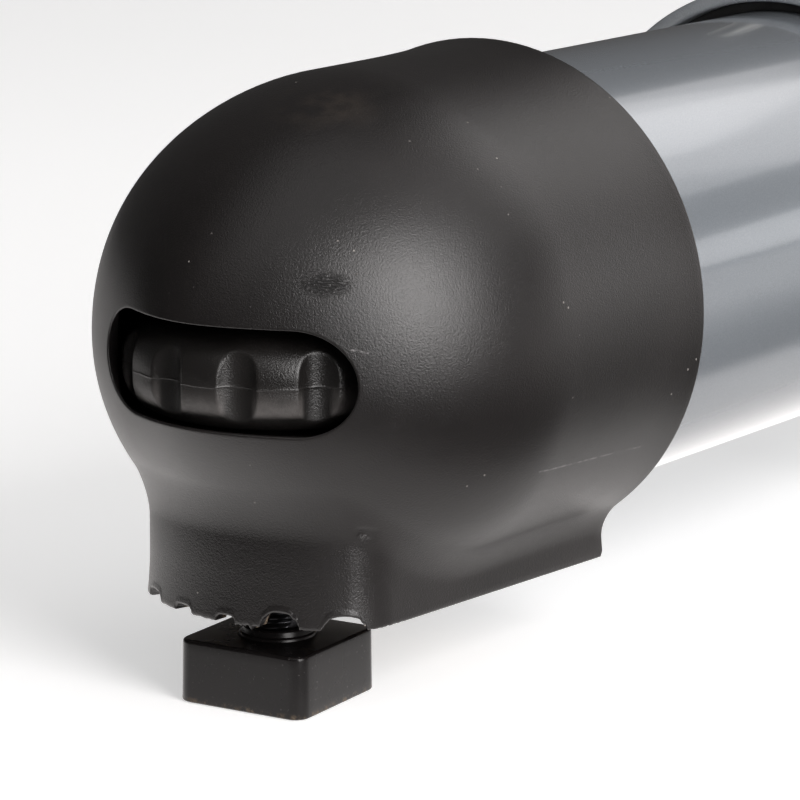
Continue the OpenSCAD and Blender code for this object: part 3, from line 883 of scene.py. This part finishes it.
def screw_shells(form):
    """The two cap screws: a countersunk head whose face dips in a cross, a cone, and a threaded shank."""
    radius = np.array([0.0, 0.35, 0.7, 1.1, 1.5, 1.9, 2.3, 2.7, 3.2, 3.7, 3.95, 4.0])[:, None]
    angle = full_turn(96)
    x, y = radius * np.cos(angle), radius * np.sin(angle)
    arm = np.minimum(np.abs(x), np.abs(y))
    cross = np.clip((0.62 - arm) / 0.25, 0, 1) * np.clip((2.6 - radius) / 0.6, 0, 1)
    face = np.stack([x, y, 1.5 * cross * (1 - radius / 4.5) + 0.05 * (radius > 3.9)], -1)
    shank = np.array([(3.9, 0.25), (2.1, 2.0), (2.1, 11.5), (0.6, 13.0), (0.0, 13.0)])
    grid = np.concatenate([face, turned(shank, 96)])
    where = [middle("left_cap_screws")[0] + RIM_X + way * 6.5 for way in (-1, 1)]
    sunk = [float(form.underside(np.array(x))) + 0.1 for x in where]
    return [shell(grid + np.array([x, 0, z]), wrap_rows=False) for x, z in zip(where, sunk)]


# ---- Materials ----


class Value:
    """One output of a node, so that sums on it read as sums and add their Math nodes."""

    def __init__(self, net, socket):
        self.net, self.socket = net, socket

    def __add__(self, other):
        return self.net.math("ADD", self, other)

    __radd__ = __add__

    def __sub__(self, other):
        return self.net.math("SUBTRACT", self, other)

    def __rsub__(self, other):
        return self.net.math("SUBTRACT", other, self)

    def __mul__(self, other):
        return self.net.math("MULTIPLY", self, other)

    __rmul__ = __mul__


class Net:
    """The nodes of one material, or of the world."""

    def __init__(self, name, world=False):
        self.owner = (bpy.data.worlds if world else bpy.data.materials).new(name)
        self.owner.use_nodes = True
        self.tree = self.owner.node_tree
        self.tree.nodes.clear()
        if not world:
            self.place = self.node("ShaderNodeTexCoord", out="Object")

    def node(self, kind, settings=(), sockets=(), out=0):
        """Adds a node: its settings first, then the values or links of its sockets; gives one output."""
        made = self.tree.nodes.new(kind)
        for key, value in dict(settings).items():
            setattr(made, key, value)
        for key, value in dict(sockets).items():
            if isinstance(value, Value):
                self.tree.links.new(value.socket, made.inputs[key])
            else:
                made.inputs[key].default_value = value
        return Value(self, made.outputs[out]) if made.outputs else made

    def math(self, operation, *values):
        return self.node("ShaderNodeMath", {"operation": operation}, dict(enumerate(values)))

    def vector(self, operation, sockets, out="Vector"):
        return self.node("ShaderNodeVectorMath", {"operation": operation}, sockets, out)

    def clamp(self, value, low=0.0, high=1.0):
        return self.node("ShaderNodeClamp", (), {"Value": value, "Min": low, "Max": high})

    def ramp(self, value, low, high, start=0.0, end=1.0):
        """Rises smoothly from start to end as the value goes from low to high."""
        sockets = {"Value": value, "From Min": low, "From Max": high, "To Min": start, "To Max": end}
        return self.node("ShaderNodeMapRange", {"interpolation_type": "SMOOTHSTEP"}, sockets)

    def noise(self, scale, detail=2.0, rough=0.5, stretch=None):
        """Noise whose grains are about a metre over scale wide."""
        where = self.place
        if stretch:
            where = self.node("ShaderNodeMapping", (), {"Vector": where, "Scale": stretch})
        sockets = {"Vector": where, "Scale": scale, "Detail": detail, "Roughness": rough}
        return self.node("ShaderNodeTexNoise", (), sockets)

    def mix(self, share, first, second):
        """A colour that goes from first to second with the share."""
        settings = {"data_type": "RGBA"}
        first, second = (c if isinstance(c, Value) else (*c, 1) for c in (first, second))
        return self.node("ShaderNodeMix", settings, {0: share, 6: first, 7: second}, out=2)

    def axis(self, letter):
        """One coordinate, in metres of the row's frame."""
        return self.node("ShaderNodeSeparateXYZ", (), {0: self.place}, out="XYZ".index(letter))

    def near(self, spot, size, stretch=(1, 1, 1)):
        """1 in the middle of a round or stretched spot, falling smoothly to 0 at its size."""
        moved = self.vector("SUBTRACT", {0: self.place, 1: spot})
        away = self.vector("LENGTH", {0: self.vector("MULTIPLY", {0: moved, 1: stretch})}, "Value")
        return self.ramp(away, 0.0, size, 1.0, 0.0)

    def streak(self, start, end, width):
        """1 along a straight scratch between two points, broken up by noise."""
        start, end = np.asarray(start, float), np.asarray(end, float)
        run = end - start
        reach = float(np.linalg.norm(run))
        way = tuple(run / reach)
        moved = self.vector("SUBTRACT", {0: self.place, 1: tuple(start)})
        held = self.clamp(self.vector("DOT_PRODUCT", {0: moved, 1: way}, "Value"), 0.0, reach)
        foot = self.vector("SCALE", {0: way, "Scale": held})
        off = self.vector("DISTANCE", {0: moved, 1: foot}, "Value")
        return self.ramp(off, width * 0.3, width, 1.0, 0.0) * self.ramp(self.noise(900.0), 0.35, 0.6)

    def dust_inside(self, form):
        """1 on the boss's inner wall, which lies nearer to the boss's middle than its outer face does."""
        middle_at = set_down(np.array([form.boss_x, 0.0, 0.0]), form.side) * MM
        away = self.reach(float(middle_at[0]))
        across = self.math("ABSOLUTE", self.axis("Y"))
        inner = self.ramp(away, 0.0279, 0.0287, 1.0, 0.0) * self.ramp(across, 0.0214, 0.0222, 1.0, 0.0)
        low = self.ramp(self.axis("Z"), (AXIS_Z - 33) * MM, (AXIS_Z - 29) * MM, 1.0, 0.0)
        return inner * low

    def reach(self, x):
        """Level distance from an upright line at x in the row's middle plane."""
        sockets = {0: self.axis("X") - x, 1: self.axis("Y"), 2: 0.0}
        flat = self.node("ShaderNodeCombineXYZ", (), sockets)
        return self.vector("LENGTH", {0: flat}, "Value")

    def bump(self, height, distance, strength):
        return self.node("ShaderNodeBump", (), {"Height": height, "Distance": distance, "Strength": strength})

    def finish(self, shade, rough, normal, **fixed):
        """Closes the material with its shader; fixed sockets hold one value all over."""
        sockets = {"Base Color": shade, "Roughness": rough, "Normal": normal}
        sockets.update({key.replace("_", " "): value for key, value in fixed.items()})
        shader = self.node("ShaderNodeBsdfPrincipled", (), sockets)
        self.node("ShaderNodeOutputMaterial", (), {"Surface": shader})
        return self.owner


def scaled(shade, factor):
    return tuple(min(1.0, c * factor) for c in shade)


def plastic_grain(net):
    """The fine pebbled grain of a spark-eroded mould, as a height."""
    size = 0.00030
    return net.noise(1 / size, 2.0, 0.55) + net.noise(2.3 / size, 1.0, 0.5) * 0.5


def cap_material(finish, form):
    """Satin black plastic: pebbled grain, a smudge, pale specks, a scuff and two scratches, and dust
    inside the boss."""
    net = Net("cap_plastic")
    base = finish.cap
    cloud = net.noise(28.0, 4.0, 0.6)
    blotch = net.noise(95.0, 3.0, 0.6)
    shade = net.mix(net.ramp(cloud, 0.35, 0.7), scaled(base, 0.85), scaled(base, 1.25))
    patch = net.near(form.mark("smudge"), 0.012) * net.ramp(blotch, 0.42, 0.68)
    shade = net.mix(patch * 0.10, shade, finish.dust)
    specks = net.node(
        "ShaderNodeTexVoronoi",
        {"feature": "F1"},
        {"Vector": net.place, "Scale": 260.0, "Randomness": 1.0},
        out="Distance",
    )
    speck = net.ramp(specks, 0.035, 0.06, 1.0, 0.0) * net.ramp(net.noise(60.0), 0.55, 0.62)
    shade = net.mix(speck * 0.75, shade, (0.30, 0.28, 0.26))
    torn = net.ramp(net.noise(900.0, 3.0, 0.7, stretch=(1, 1, 4)), 0.44, 0.56)
    scuff = net.near(form.mark("scuff"), 0.0055, (1.0, 1.0, 2.2)) * torn
    shade = net.mix(scuff * 0.8, shade, scaled(base, 0.15))
    scratch = net.streak(form.mark("scratch_a"), form.mark("scratch_b"), 0.00022)
    long_scratch = net.streak(form.mark("scratch_c"), form.mark("scratch_d"), 0.00022)
    lines = net.clamp(scratch * 0.9 + long_scratch)
    shade = net.mix(lines * 0.7, shade, (0.20, 0.19, 0.19))
    dusty = net.dust_inside(form) * net.ramp(net.noise(420.0, 3.0), 0.25, 0.7)
    shade = net.mix(dusty * 0.9, shade, scaled(finish.dust, 1.5))
    rough = 0.335 + (cloud - 0.5) * 0.10 + (blotch - 0.5) * 0.06
    rough = rough + scuff * 0.5 + lines * 0.1 + patch * 0.10
    height = plastic_grain(net) + speck * 1.5 + net.noise(160.0, 2.0) * 0.4 - scuff * 4.0
    relief = net.bump(height, 0.000060, 0.9)
    return net.finish(shade, net.clamp(rough, 0.2, 0.9), relief, IOR=1.5)


def wheel_material(finish):
    """Black plastic, its rim's lower half greyed except in the scallops, partly by dust and partly by painted
    light from below.
    """
    net = Net("wheel_plastic")
    base = finish.wheel
    cloud = net.noise(70.0, 3.0)
    shade = net.mix(net.ramp(cloud, 0.4, 0.65), base, scaled(base, 1.5))
    # The rim's lower half is greyed partly by dust and partly by painted light, standing in for light that
    # reaches it from below
    mid = (WHEEL_LOW + RIM_TALL / 2 + AXIS_Z) * MM
    low = net.ramp(net.axis("Z"), mid - 0.0060, mid + 0.0012, 1.0, 0.0)
    grey_patches = net.ramp(net.noise(500.0, 3.0, 0.6), 0.25, 0.75, 0.6, 1.0)
    away = [net.ramp(net.reach(side * (LEVER_X - RIM_X) * MM), 0.0233, 0.0240) for side in (-1, 1)]
    dust_and_painted_light_grey = (0.135, 0.125, 0.120)
    shade = net.mix(low * grey_patches * net.clamp(away[0] * away[1]) * 0.9, shade, dust_and_painted_light_grey)
    rough = 0.31 + (cloud - 0.5) * 0.16 + low * 0.12
    relief = net.bump(plastic_grain(net), 0.00007, 0.9)
    return net.finish(shade, net.clamp(rough, 0.2, 0.8), relief, IOR=1.5)


def foot_material(finish):
    """Smooth satin plastic with scattered dust and a dusty lower edge."""
    net = Net("foot_plastic")
    base = finish.foot
    low = (SOLE_LOW + AXIS_Z) * MM
    cloud = net.noise(120.0, 3.0)
    patchy = net.ramp(net.noise(700.0, 3.0, 0.7), 0.45, 0.65)
    edge = net.ramp(net.axis("Z"), low + 0.0004, low + 0.0013, 1.0, 0.0) * patchy
    dust = net.ramp(net.noise(1500.0, 2.0, 0.7), 0.66, 0.72)
    shade = net.mix(net.ramp(cloud, 0.4, 0.7), base, scaled(base, 1.3))
    shade = net.mix(edge * 0.5, shade, finish.dust)
    shade = net.mix(dust * 0.25, shade, (0.16, 0.15, 0.15))
    rough = 0.28 + (cloud - 0.5) * 0.14 + edge * 0.3
    relief = net.bump(net.noise(2600.0, 1.0) * 0.6 + net.noise(300.0, 2.0), 0.00003, 0.35)
    return net.finish(shade, net.clamp(rough, 0.15, 0.9), relief, IOR=1.32)


def paint_material(name, base, sparkle=0.06, rough=0.20):
    """Metallic paint under a clear coat: fine flakes, faint orange peel and a little unevenness."""
    net = Net(name)
    flakes = net.noise(5200.0, 1.0, 0.5)
    cloud = net.noise(14.0, 3.0)
    shade = net.mix(net.ramp(flakes, 0.4, 0.62), scaled(base, 1 - sparkle), scaled(base, 1 + sparkle))
    shade = net.mix(net.ramp(cloud, 0.45, 0.75) * 0.15, shade, scaled(base, 0.9))
    peel = net.bump(net.noise(420.0, 1.5) + net.noise(90.0, 1.0) * 2.0, 0.000015, 0.25)
    roughness = rough + (net.noise(40.0, 2.0) - 0.5) * 0.05
    return net.finish(shade, roughness, peel, Metallic=0.3, Coat_Weight=0.7, Coat_Roughness=0.08)


def metal_material(name, base, rough, stain=0.18):
    """Plated or bare metal: a fine turned grain and cloudy plating."""
    net = Net(name)
    cloud = net.noise(220.0, 4.0, 0.6)
    shade = net.mix(net.ramp(cloud, 0.35, 0.7), scaled(base, 1 - stain), scaled(base, 1.05))
    roughness = rough + (net.noise(600.0, 3.0) - 0.5) * 0.16
    relief = net.bump(net.noise(2200.0, 2.0, stretch=(1, 1, 6)), 0.000012, 0.4)
    return net.finish(shade, net.clamp(roughness, 0.12, 0.8), relief, Metallic=1.0)


def rubber_material(name, base):
    """Dull rubber with a dusty bloom."""
    net = Net(name)
    cloud = net.noise(150.0, 4.0, 0.65)
    shade = net.mix(net.ramp(cloud, 0.4, 0.75) * 0.6, base, scaled(base, 3.2))
    relief = net.bump(net.noise(1500.0, 2.0), 0.00006, 0.5)
    return net.finish(shade, 0.72 + (cloud - 0.5) * 0.2, relief, IOR=1.52)


def nylon_material(name, base):
    """Natural nylon, slightly waxy."""
    net = Net(name)
    cloud = net.noise(200.0, 3.0)
    shade = net.mix(net.ramp(cloud, 0.4, 0.7), scaled(base, 0.92), base)
    relief = net.bump(net.noise(1800.0, 2.0), 0.00003, 0.4)
    return net.finish(shade, 0.42 + (cloud - 0.5) * 0.1, relief, IOR=1.53)


# ---- Stage ----

CAMERA_AZIMUTH, CAMERA_RISE, CAMERA_ROLL = -55.21, 12.33, 0.32
CAMERA_PLACE = (-0.7356, -0.3805, 0.1884)
CAMERA_LENS = 185.0
LIT_SPOT = (-0.20, 0.0, 0.06)
LAMP_TINT = (1.0, 0.975, 0.968)


def lay_floor():
    """A floor that rises behind the crossbar in one sweep: flat, then a quarter of an ellipse."""
    near, far, high = -3.0, 3.0, 2.4
    bend = np.linspace(0, np.pi / 2, 24)
    along = np.concatenate([[near, 0.0], far - 1.2 + 1.2 * np.sin(bend), [far]])
    height = np.concatenate([[0.0, 0.0], high - high * np.cos(bend), [high * 2]])
    across = np.linspace(-6, 6, 5)
    turn = math.radians(-CAMERA_AZIMUTH)
    x, y = np.meshgrid(across, along, indexing="xy")
    z = np.repeat(height[:, None], len(across), 1)
    c, s = math.cos(turn), math.sin(turn)
    points = np.stack([c * x + s * y, -s * x + c * y, z], -1).reshape(-1, 3)
    mesh = bpy.data.meshes.new("floor")
    mesh.from_pydata(points.tolist(), [], quads_of(len(along), len(across)).tolist())
    net = Net("floor")
    tone = net.ramp(net.noise(3.0, 2.0), 0.3, 0.7, 0.79, 0.81)
    base = net.node("ShaderNodeCombineColor", (), {0: tone, 1: tone, 2: tone})
    lit = net.node("ShaderNodeBsdfDiffuse", (), {"Color": base})
    glow = net.node("ShaderNodeEmission", (), {"Color": (1, 1, 1, 1), "Strength": 0.50})
    seen = net.node("ShaderNodeAddShader", (), {0: lit, 1: glow})
    # What shines on the crossbar from below is a painted reflection of a lit table, a glow the floor shows
    # only in reflections: brightest under the crossbar, dimmer far behind it and to the right, and dark in
    # front of the near end
    y = net.axis("Y")
    off_middle = net.math("ABSOLUTE", net.axis("X"))
    reflected_table = net.ramp(off_middle, 0.27, 0.31, 1.0, 0.0) * net.ramp(y, -0.073, -0.059)
    reflected_table = reflected_table * net.ramp(net.axis("Z"), 0.02, 0.30, 1.0, 0.0)
    under = net.ramp(y, -0.04, 0.0) * net.ramp(y, 0.05, 0.12, 1.0, 0.0)
    aside = net.ramp(net.axis("X"), -0.14, -0.04) * net.ramp(y, -0.24, -0.08, 1.0, 0.0)
    near_tone, far_tone, dark_tone = 0.95, 0.60, 0.08
    reflected_table_tone = net.ramp(y, 0.08, 0.30, near_tone, far_tone) + under * 0.7
    tones = reflected_table * reflected_table_tone + (1 - reflected_table) * (dark_tone + aside * 0.7)
    sheen = net.mix(tones * 0.5, (0.0, 0.0, 0.0), (2.0, 1.93, 1.90))
    # The painted reflection: this glow is seen only by glossy rays
    shine = net.node("ShaderNodeEmission", (), {"Color": sheen, "Strength": 1.0})
    camera = net.node("ShaderNodeLightPath", out="Is Camera Ray")
    mirror = net.node("ShaderNodeLightPath", out="Is Glossy Ray")
    mixed = net.node("ShaderNodeMixShader", (), {0: mirror, 1: lit, 2: shine})
    mixed = net.node("ShaderNodeMixShader", (), {0: camera, 1: mixed, 2: seen})
    net.node("ShaderNodeOutputMaterial", (), {"Surface": mixed})
    mesh.materials.append(net.owner)
    floor = bpy.data.objects.new("floor", mesh)
    bpy.context.scene.collection.objects.link(floor)


def lamp(name, azimuth, rise, away, size, shine):
    """A softbox as seen from the crossbar's near end: its bearing from -Y and its rise in degrees, its
    distance and size in metres, and the brightness of its face."""
    a, e = math.radians(azimuth), math.radians(rise)
    back = np.array([math.sin(a) * math.cos(e), -math.cos(a) * math.cos(e), math.sin(e)])
    side = np.array([math.cos(a), math.sin(a), 0.0])
    light = bpy.data.lights.new(name, "AREA")
    light.shape = "RECTANGLE"
    light.size, light.size_y = size
    light.color = LAMP_TINT
    light.energy = shine * math.pi * size[0] * size[1]
    made = bpy.data.objects.new(name, light)
    turn = Matrix(np.stack([side, np.cross(back, side), back], 1).tolist()).to_4x4()
    turn.translation = np.array(LIT_SPOT) + back * away
    made.matrix_world = turn
    made.visible_camera = False
    bpy.context.scene.collection.objects.link(made)


def camera_axes():
    """The camera's right, up and back directions, from its azimuth, rise and roll."""
    a, e, r = (math.radians(v) for v in (CAMERA_AZIMUTH, CAMERA_RISE, CAMERA_ROLL))
    back = np.array([math.sin(a) * math.cos(e), -math.cos(a) * math.cos(e), math.sin(e)])
    right = np.array([math.cos(a), math.sin(a), 0.0])
    up = np.cross(back, right)
    return right * math.cos(r) + up * math.sin(r), up * math.cos(r) - right * math.sin(r), back


def set_camera():
    """A long lens at the end of the crossbar, a little above it."""
    right, up, back = camera_axes()
    data = bpy.data.cameras.new("camera")
    data.lens = CAMERA_LENS
    data.sensor_width = 36.0
    data.clip_start, data.clip_end = 0.05, 50
    camera = bpy.data.objects.new("camera", data)
    turn = Matrix(np.stack([right, up, back], 1).tolist()).to_4x4()
    turn.translation = CAMERA_PLACE
    camera.matrix_world = turn
    bpy.context.scene.collection.objects.link(camera)
    bpy.context.scene.camera = camera


def hang_lamps():
    """Soft lamps: a tall key to the camera's right, a broad one above it, one overhead, one at the far
    side that draws the bright band along the tube, and a low one that lights its middle."""
    lamp("key", -19, 17, 1.3, (0.66, 1.30), 9.8)
    lamp("broad", 35, 46, 1.6, (3.0, 1.3), 0.85)
    lamp("top", -75, 70, 1.5, (1.1, 2.0), 0.75)
    lamp("band", 82, 38.5, 1.4, (0.60, 0.34), 1.0)
    lamp("wall", 60, 5.5, 1.5, (1.7, 0.22), 1.5)


def light_world():
    """A dim room that is white where the camera sees it."""
    net = Net("room", world=True)
    bpy.context.scene.world = net.owner
    rays = [net.node("ShaderNodeLightPath", out=f"Is {kind} Ray") for kind in ("Camera", "Transmission")]
    dim, white = (
        net.node("ShaderNodeBackground", (), {"Color": (1, 1, 1, 1), "Strength": strength})
        for strength in (0.05, 1.0)
    )
    mixed = net.node("ShaderNodeMixShader", (), {0: net.math("MAXIMUM", *rays), 1: dim, 2: white})
    net.node("ShaderNodeOutputWorld", (), {"Surface": mixed})


# ---- Operators ----


class CROSSBAR_OT_tube(bpy.types.Operator):
    """Turns the painted tube"""

    bl_idname = "crossbar.tube"
    bl_label = "Tube"

    def execute(self, context):
        paint = paint_material("tube_paint", context.scene.finishes.paint)
        piece("tube", [shell(tube_grid())], "crossbar", paint, ["crossbar_tube"])
        return {"FINISHED"}


class CROSSBAR_OT_saddle(bpy.types.Operator):
    """Bends the saddle plate and its rubber liner round the tube"""

    bl_idname = "crossbar.saddle"
    bl_label = "Saddle"

    def execute(self, context):
        finish = context.scene.finishes
        # Lighter than the tube's paint, which the saddle shares: painted light on its lit edge
        paint = paint_material("saddle_paint", finish.saddle, 0.1, 0.34)
        plate = saddle_sheet(0.0, SADDLE_IN, SADDLE_OUT, 0.8)
        piece("saddle", [shell(plate, wrap_rows=False)], "crossbar", paint, ["saddle_plate"])
        rubber = rubber_material("liner_rubber", finish.rubber)
        pad = saddle_sheet(LINER_INSET, TUBE_R + 0.02, SADDLE_IN - 0.01, 0.4)
        pad = shell(pad, wrap_rows=False)
        piece("saddle_pad", [pad], "crossbar", rubber, ["saddle_liner"])
        return {"FINISHED"}


class CROSSBAR_OT_bolts(bpy.types.Operator):
    """Turns the frame bolts and presses their retainers"""

    bl_idname = "crossbar.bolts"
    bl_label = "Frame bolts"

    def execute(self, context):
        finish = context.scene.finishes
        zinc = metal_material("bolt_zinc", scaled(finish.zinc, 0.6), 0.5)
        piece("bolts", bolt_shells(), "crossbar", zinc, ["frame_bolts"])
        steel = metal_material("retainer_steel", finish.zinc, 0.3)
        piece("retainers", retainer_shells(), "crossbar", steel, ["bolt_retainers"])
        return {"FINISHED"}


class CROSSBAR_OT_caps(bpy.types.Operator):
    """Moulds the two end caps"""

    bl_idname = "crossbar.caps"
    bl_label = "End caps"

    def execute(self, context):
        form = CapForm(context.scene.cap_sizes)
        wall, core = shell(cap_shell(form)), [cap_sleeve(form), *cap_webs(form), *cap_ribs(form)]
        for side in SIDES:
            form.side = side
            plastic = cap_material(context.scene.finishes, form)
            node = [f"{side}_end_cap"]
            skin, *inside = [(set_down(points, side), quads) for points, quads in [wall, *core]]
            piece(f"{side}_cap", [skin], "crossbar", plastic, node, sharp=48)
            piece(f"{side}_cap_core", inside, "crossbar", plastic, node)
        return {"FINISHED"}


class CROSSBAR_OT_wheels(bpy.types.Operator):
    """Moulds the two thumbwheels"""

    bl_idname = "crossbar.wheels"
    bl_label = "Thumbwheels"

    def execute(self, context):
        sizes = context.scene.leveller_sizes
        plastic = wheel_material(context.scene.finishes)
        grid = at_lever(wheel_grid(sizes), sizes.wheel_turn)
        for side in SIDES:
            rim, node = shell(set_down(grid, side)), [f"{side}_thumbwheel"]
            piece(f"{side}_wheel_rim", [rim], f"{side}_wheel", plastic, node, sharp=60)
        return {"FINISHED"}


class CROSSBAR_OT_stems(bpy.types.Operator):
    """Cuts the threaded stems"""

    bl_idname = "crossbar.stems"
    bl_label = "Stems"

    def execute(self, context):
        sizes = context.scene.leveller_sizes
        steel = metal_material("stem_steel", context.scene.finishes.stem, 0.38)
        grid = at_lever(stem_grid(sizes), sizes.foot_turn)
        for side in SIDES:
            rod, node = shell(set_down(grid, side), wrap_rows=False), [f"{side}_stem"]
            piece(f"{side}_threaded_stem", [rod], f"{side}_leg", steel, node, sharp=50)
        return {"FINISHED"}


class CROSSBAR_OT_feet(bpy.types.Operator):
    """Moulds the square feet and their sole pads"""

    bl_idname = "crossbar.feet"
    bl_label = "Feet"

    def execute(self, context):
        sizes, finish = context.scene.leveller_sizes, context.scene.finishes
        plastic = foot_material(finish)
        rubber = rubber_material("sole_rubber", finish.rubber)
        foot = at_lever(foot_grid(sizes), sizes.foot_turn)
        under, over = (at_lever(grid, sizes.foot_turn) for grid in sole_grid())
        for side in SIDES:
            body = f"{side}_leg"
            block = shell(set_down(foot, side))
            piece(f"{side}_foot_block", [block], body, plastic, [f"{side}_foot"])
            sole = slab(set_down(under, side), set_down(over, side))
            piece(f"{side}_sole", [sole], body, rubber, [f"{side}_sole_pad"])
        return {"FINISHED"}


class CROSSBAR_OT_screws(bpy.types.Operator):
    """Turns the cap screws"""

    bl_idname = "crossbar.screws"
    bl_label = "Cap screws"

    def execute(self, context):
        zinc = metal_material("screw_zinc", scaled(context.scene.finishes.zinc, 0.8), 0.36)
        form = CapForm(context.scene.cap_sizes)
        for side in SIDES:
            parts = [(set_down(points, side), quads) for points, quads in screw_shells(form)]
            piece(f"{side}_screws", parts, "crossbar", zinc, [f"{side}_cap_screws"])
        return {"FINISHED"}


class CROSSBAR_OT_inner_parts(bpy.types.Operator):
    """Finishes the bushes, washers, nuts and stop rings inside the caps"""

    bl_idname = "crossbar.inner_parts"
    bl_label = "Inner parts"

    def execute(self, context):
        finish = context.scene.finishes
        steel = metal_material("washer_steel", finish.zinc, 0.3)
        brass = metal_material("nut_brass", finish.brass, 0.28, 0.25)
        nylon = nylon_material("bush_nylon", finish.nylon)
        for side in SIDES:
            for name, material in (
                ("guide_bush", nylon),
                ("upper_washer", steel),
                ("lower_washer", steel),
                ("wheel_nut", brass),
                ("stop_ring", steel),
            ):
                finish_node(f"{side}_{name}", material)
        return {"FINISHED"}


class CROSSBAR_OT_stage(bpy.types.Operator):
    """Lays the floor, hangs the lamps and sets up the camera"""

    bl_idname = "crossbar.stage"
    bl_label = "Stage"

    def execute(self, context):
        lay_floor()
        hang_lamps()
        light_world()
        set_camera()
        context.scene.view_settings.view_transform = "Standard"
        return {"FINISHED"}


PIECES = (
    CROSSBAR_OT_stage,
    CROSSBAR_OT_tube,
    CROSSBAR_OT_saddle,
    CROSSBAR_OT_bolts,
    CROSSBAR_OT_caps,
    CROSSBAR_OT_wheels,
    CROSSBAR_OT_stems,
    CROSSBAR_OT_feet,
    CROSSBAR_OT_screws,
    CROSSBAR_OT_inner_parts,
)


class CROSSBAR_PT_panel(bpy.types.Panel):
    """Lists the crossbar's pieces"""

    bl_label = "Crossbar"
    bl_idname = "CROSSBAR_PT_panel"
    bl_space_type = "VIEW_3D"
    bl_region_type = "UI"
    bl_category = "Crossbar"

    def draw(self, context):
        for group in (context.scene.cap_sizes, context.scene.leveller_sizes, context.scene.finishes):
            box = self.layout.box()
            for key in group.__annotations__:
                box.prop(group, key, text=key.replace("_", " ").capitalize())
        for operator in PIECES:
            self.layout.operator(operator.bl_idname)


GROUPS = {"cap_sizes": CapSizes, "leveller_sizes": LevellerSizes, "finishes": Finishes}
CLASSES = (*GROUPS.values(), *PIECES, CROSSBAR_PT_panel)


def register():
    for made in CLASSES:
        bpy.utils.register_class(made)
    for name, group in GROUPS.items():
        setattr(bpy.types.Scene, name, bpy.props.PointerProperty(type=group))


def unregister():
    for name in GROUPS:
        delattr(bpy.types.Scene, name)
    for made in reversed(CLASSES):
        bpy.utils.unregister_class(made)


def main():
    register()
    for operator in PIECES:
        group, name = operator.bl_idname.split(".")
        getattr(getattr(bpy.ops, group), name)()


if __name__ == "__main__":
    main()
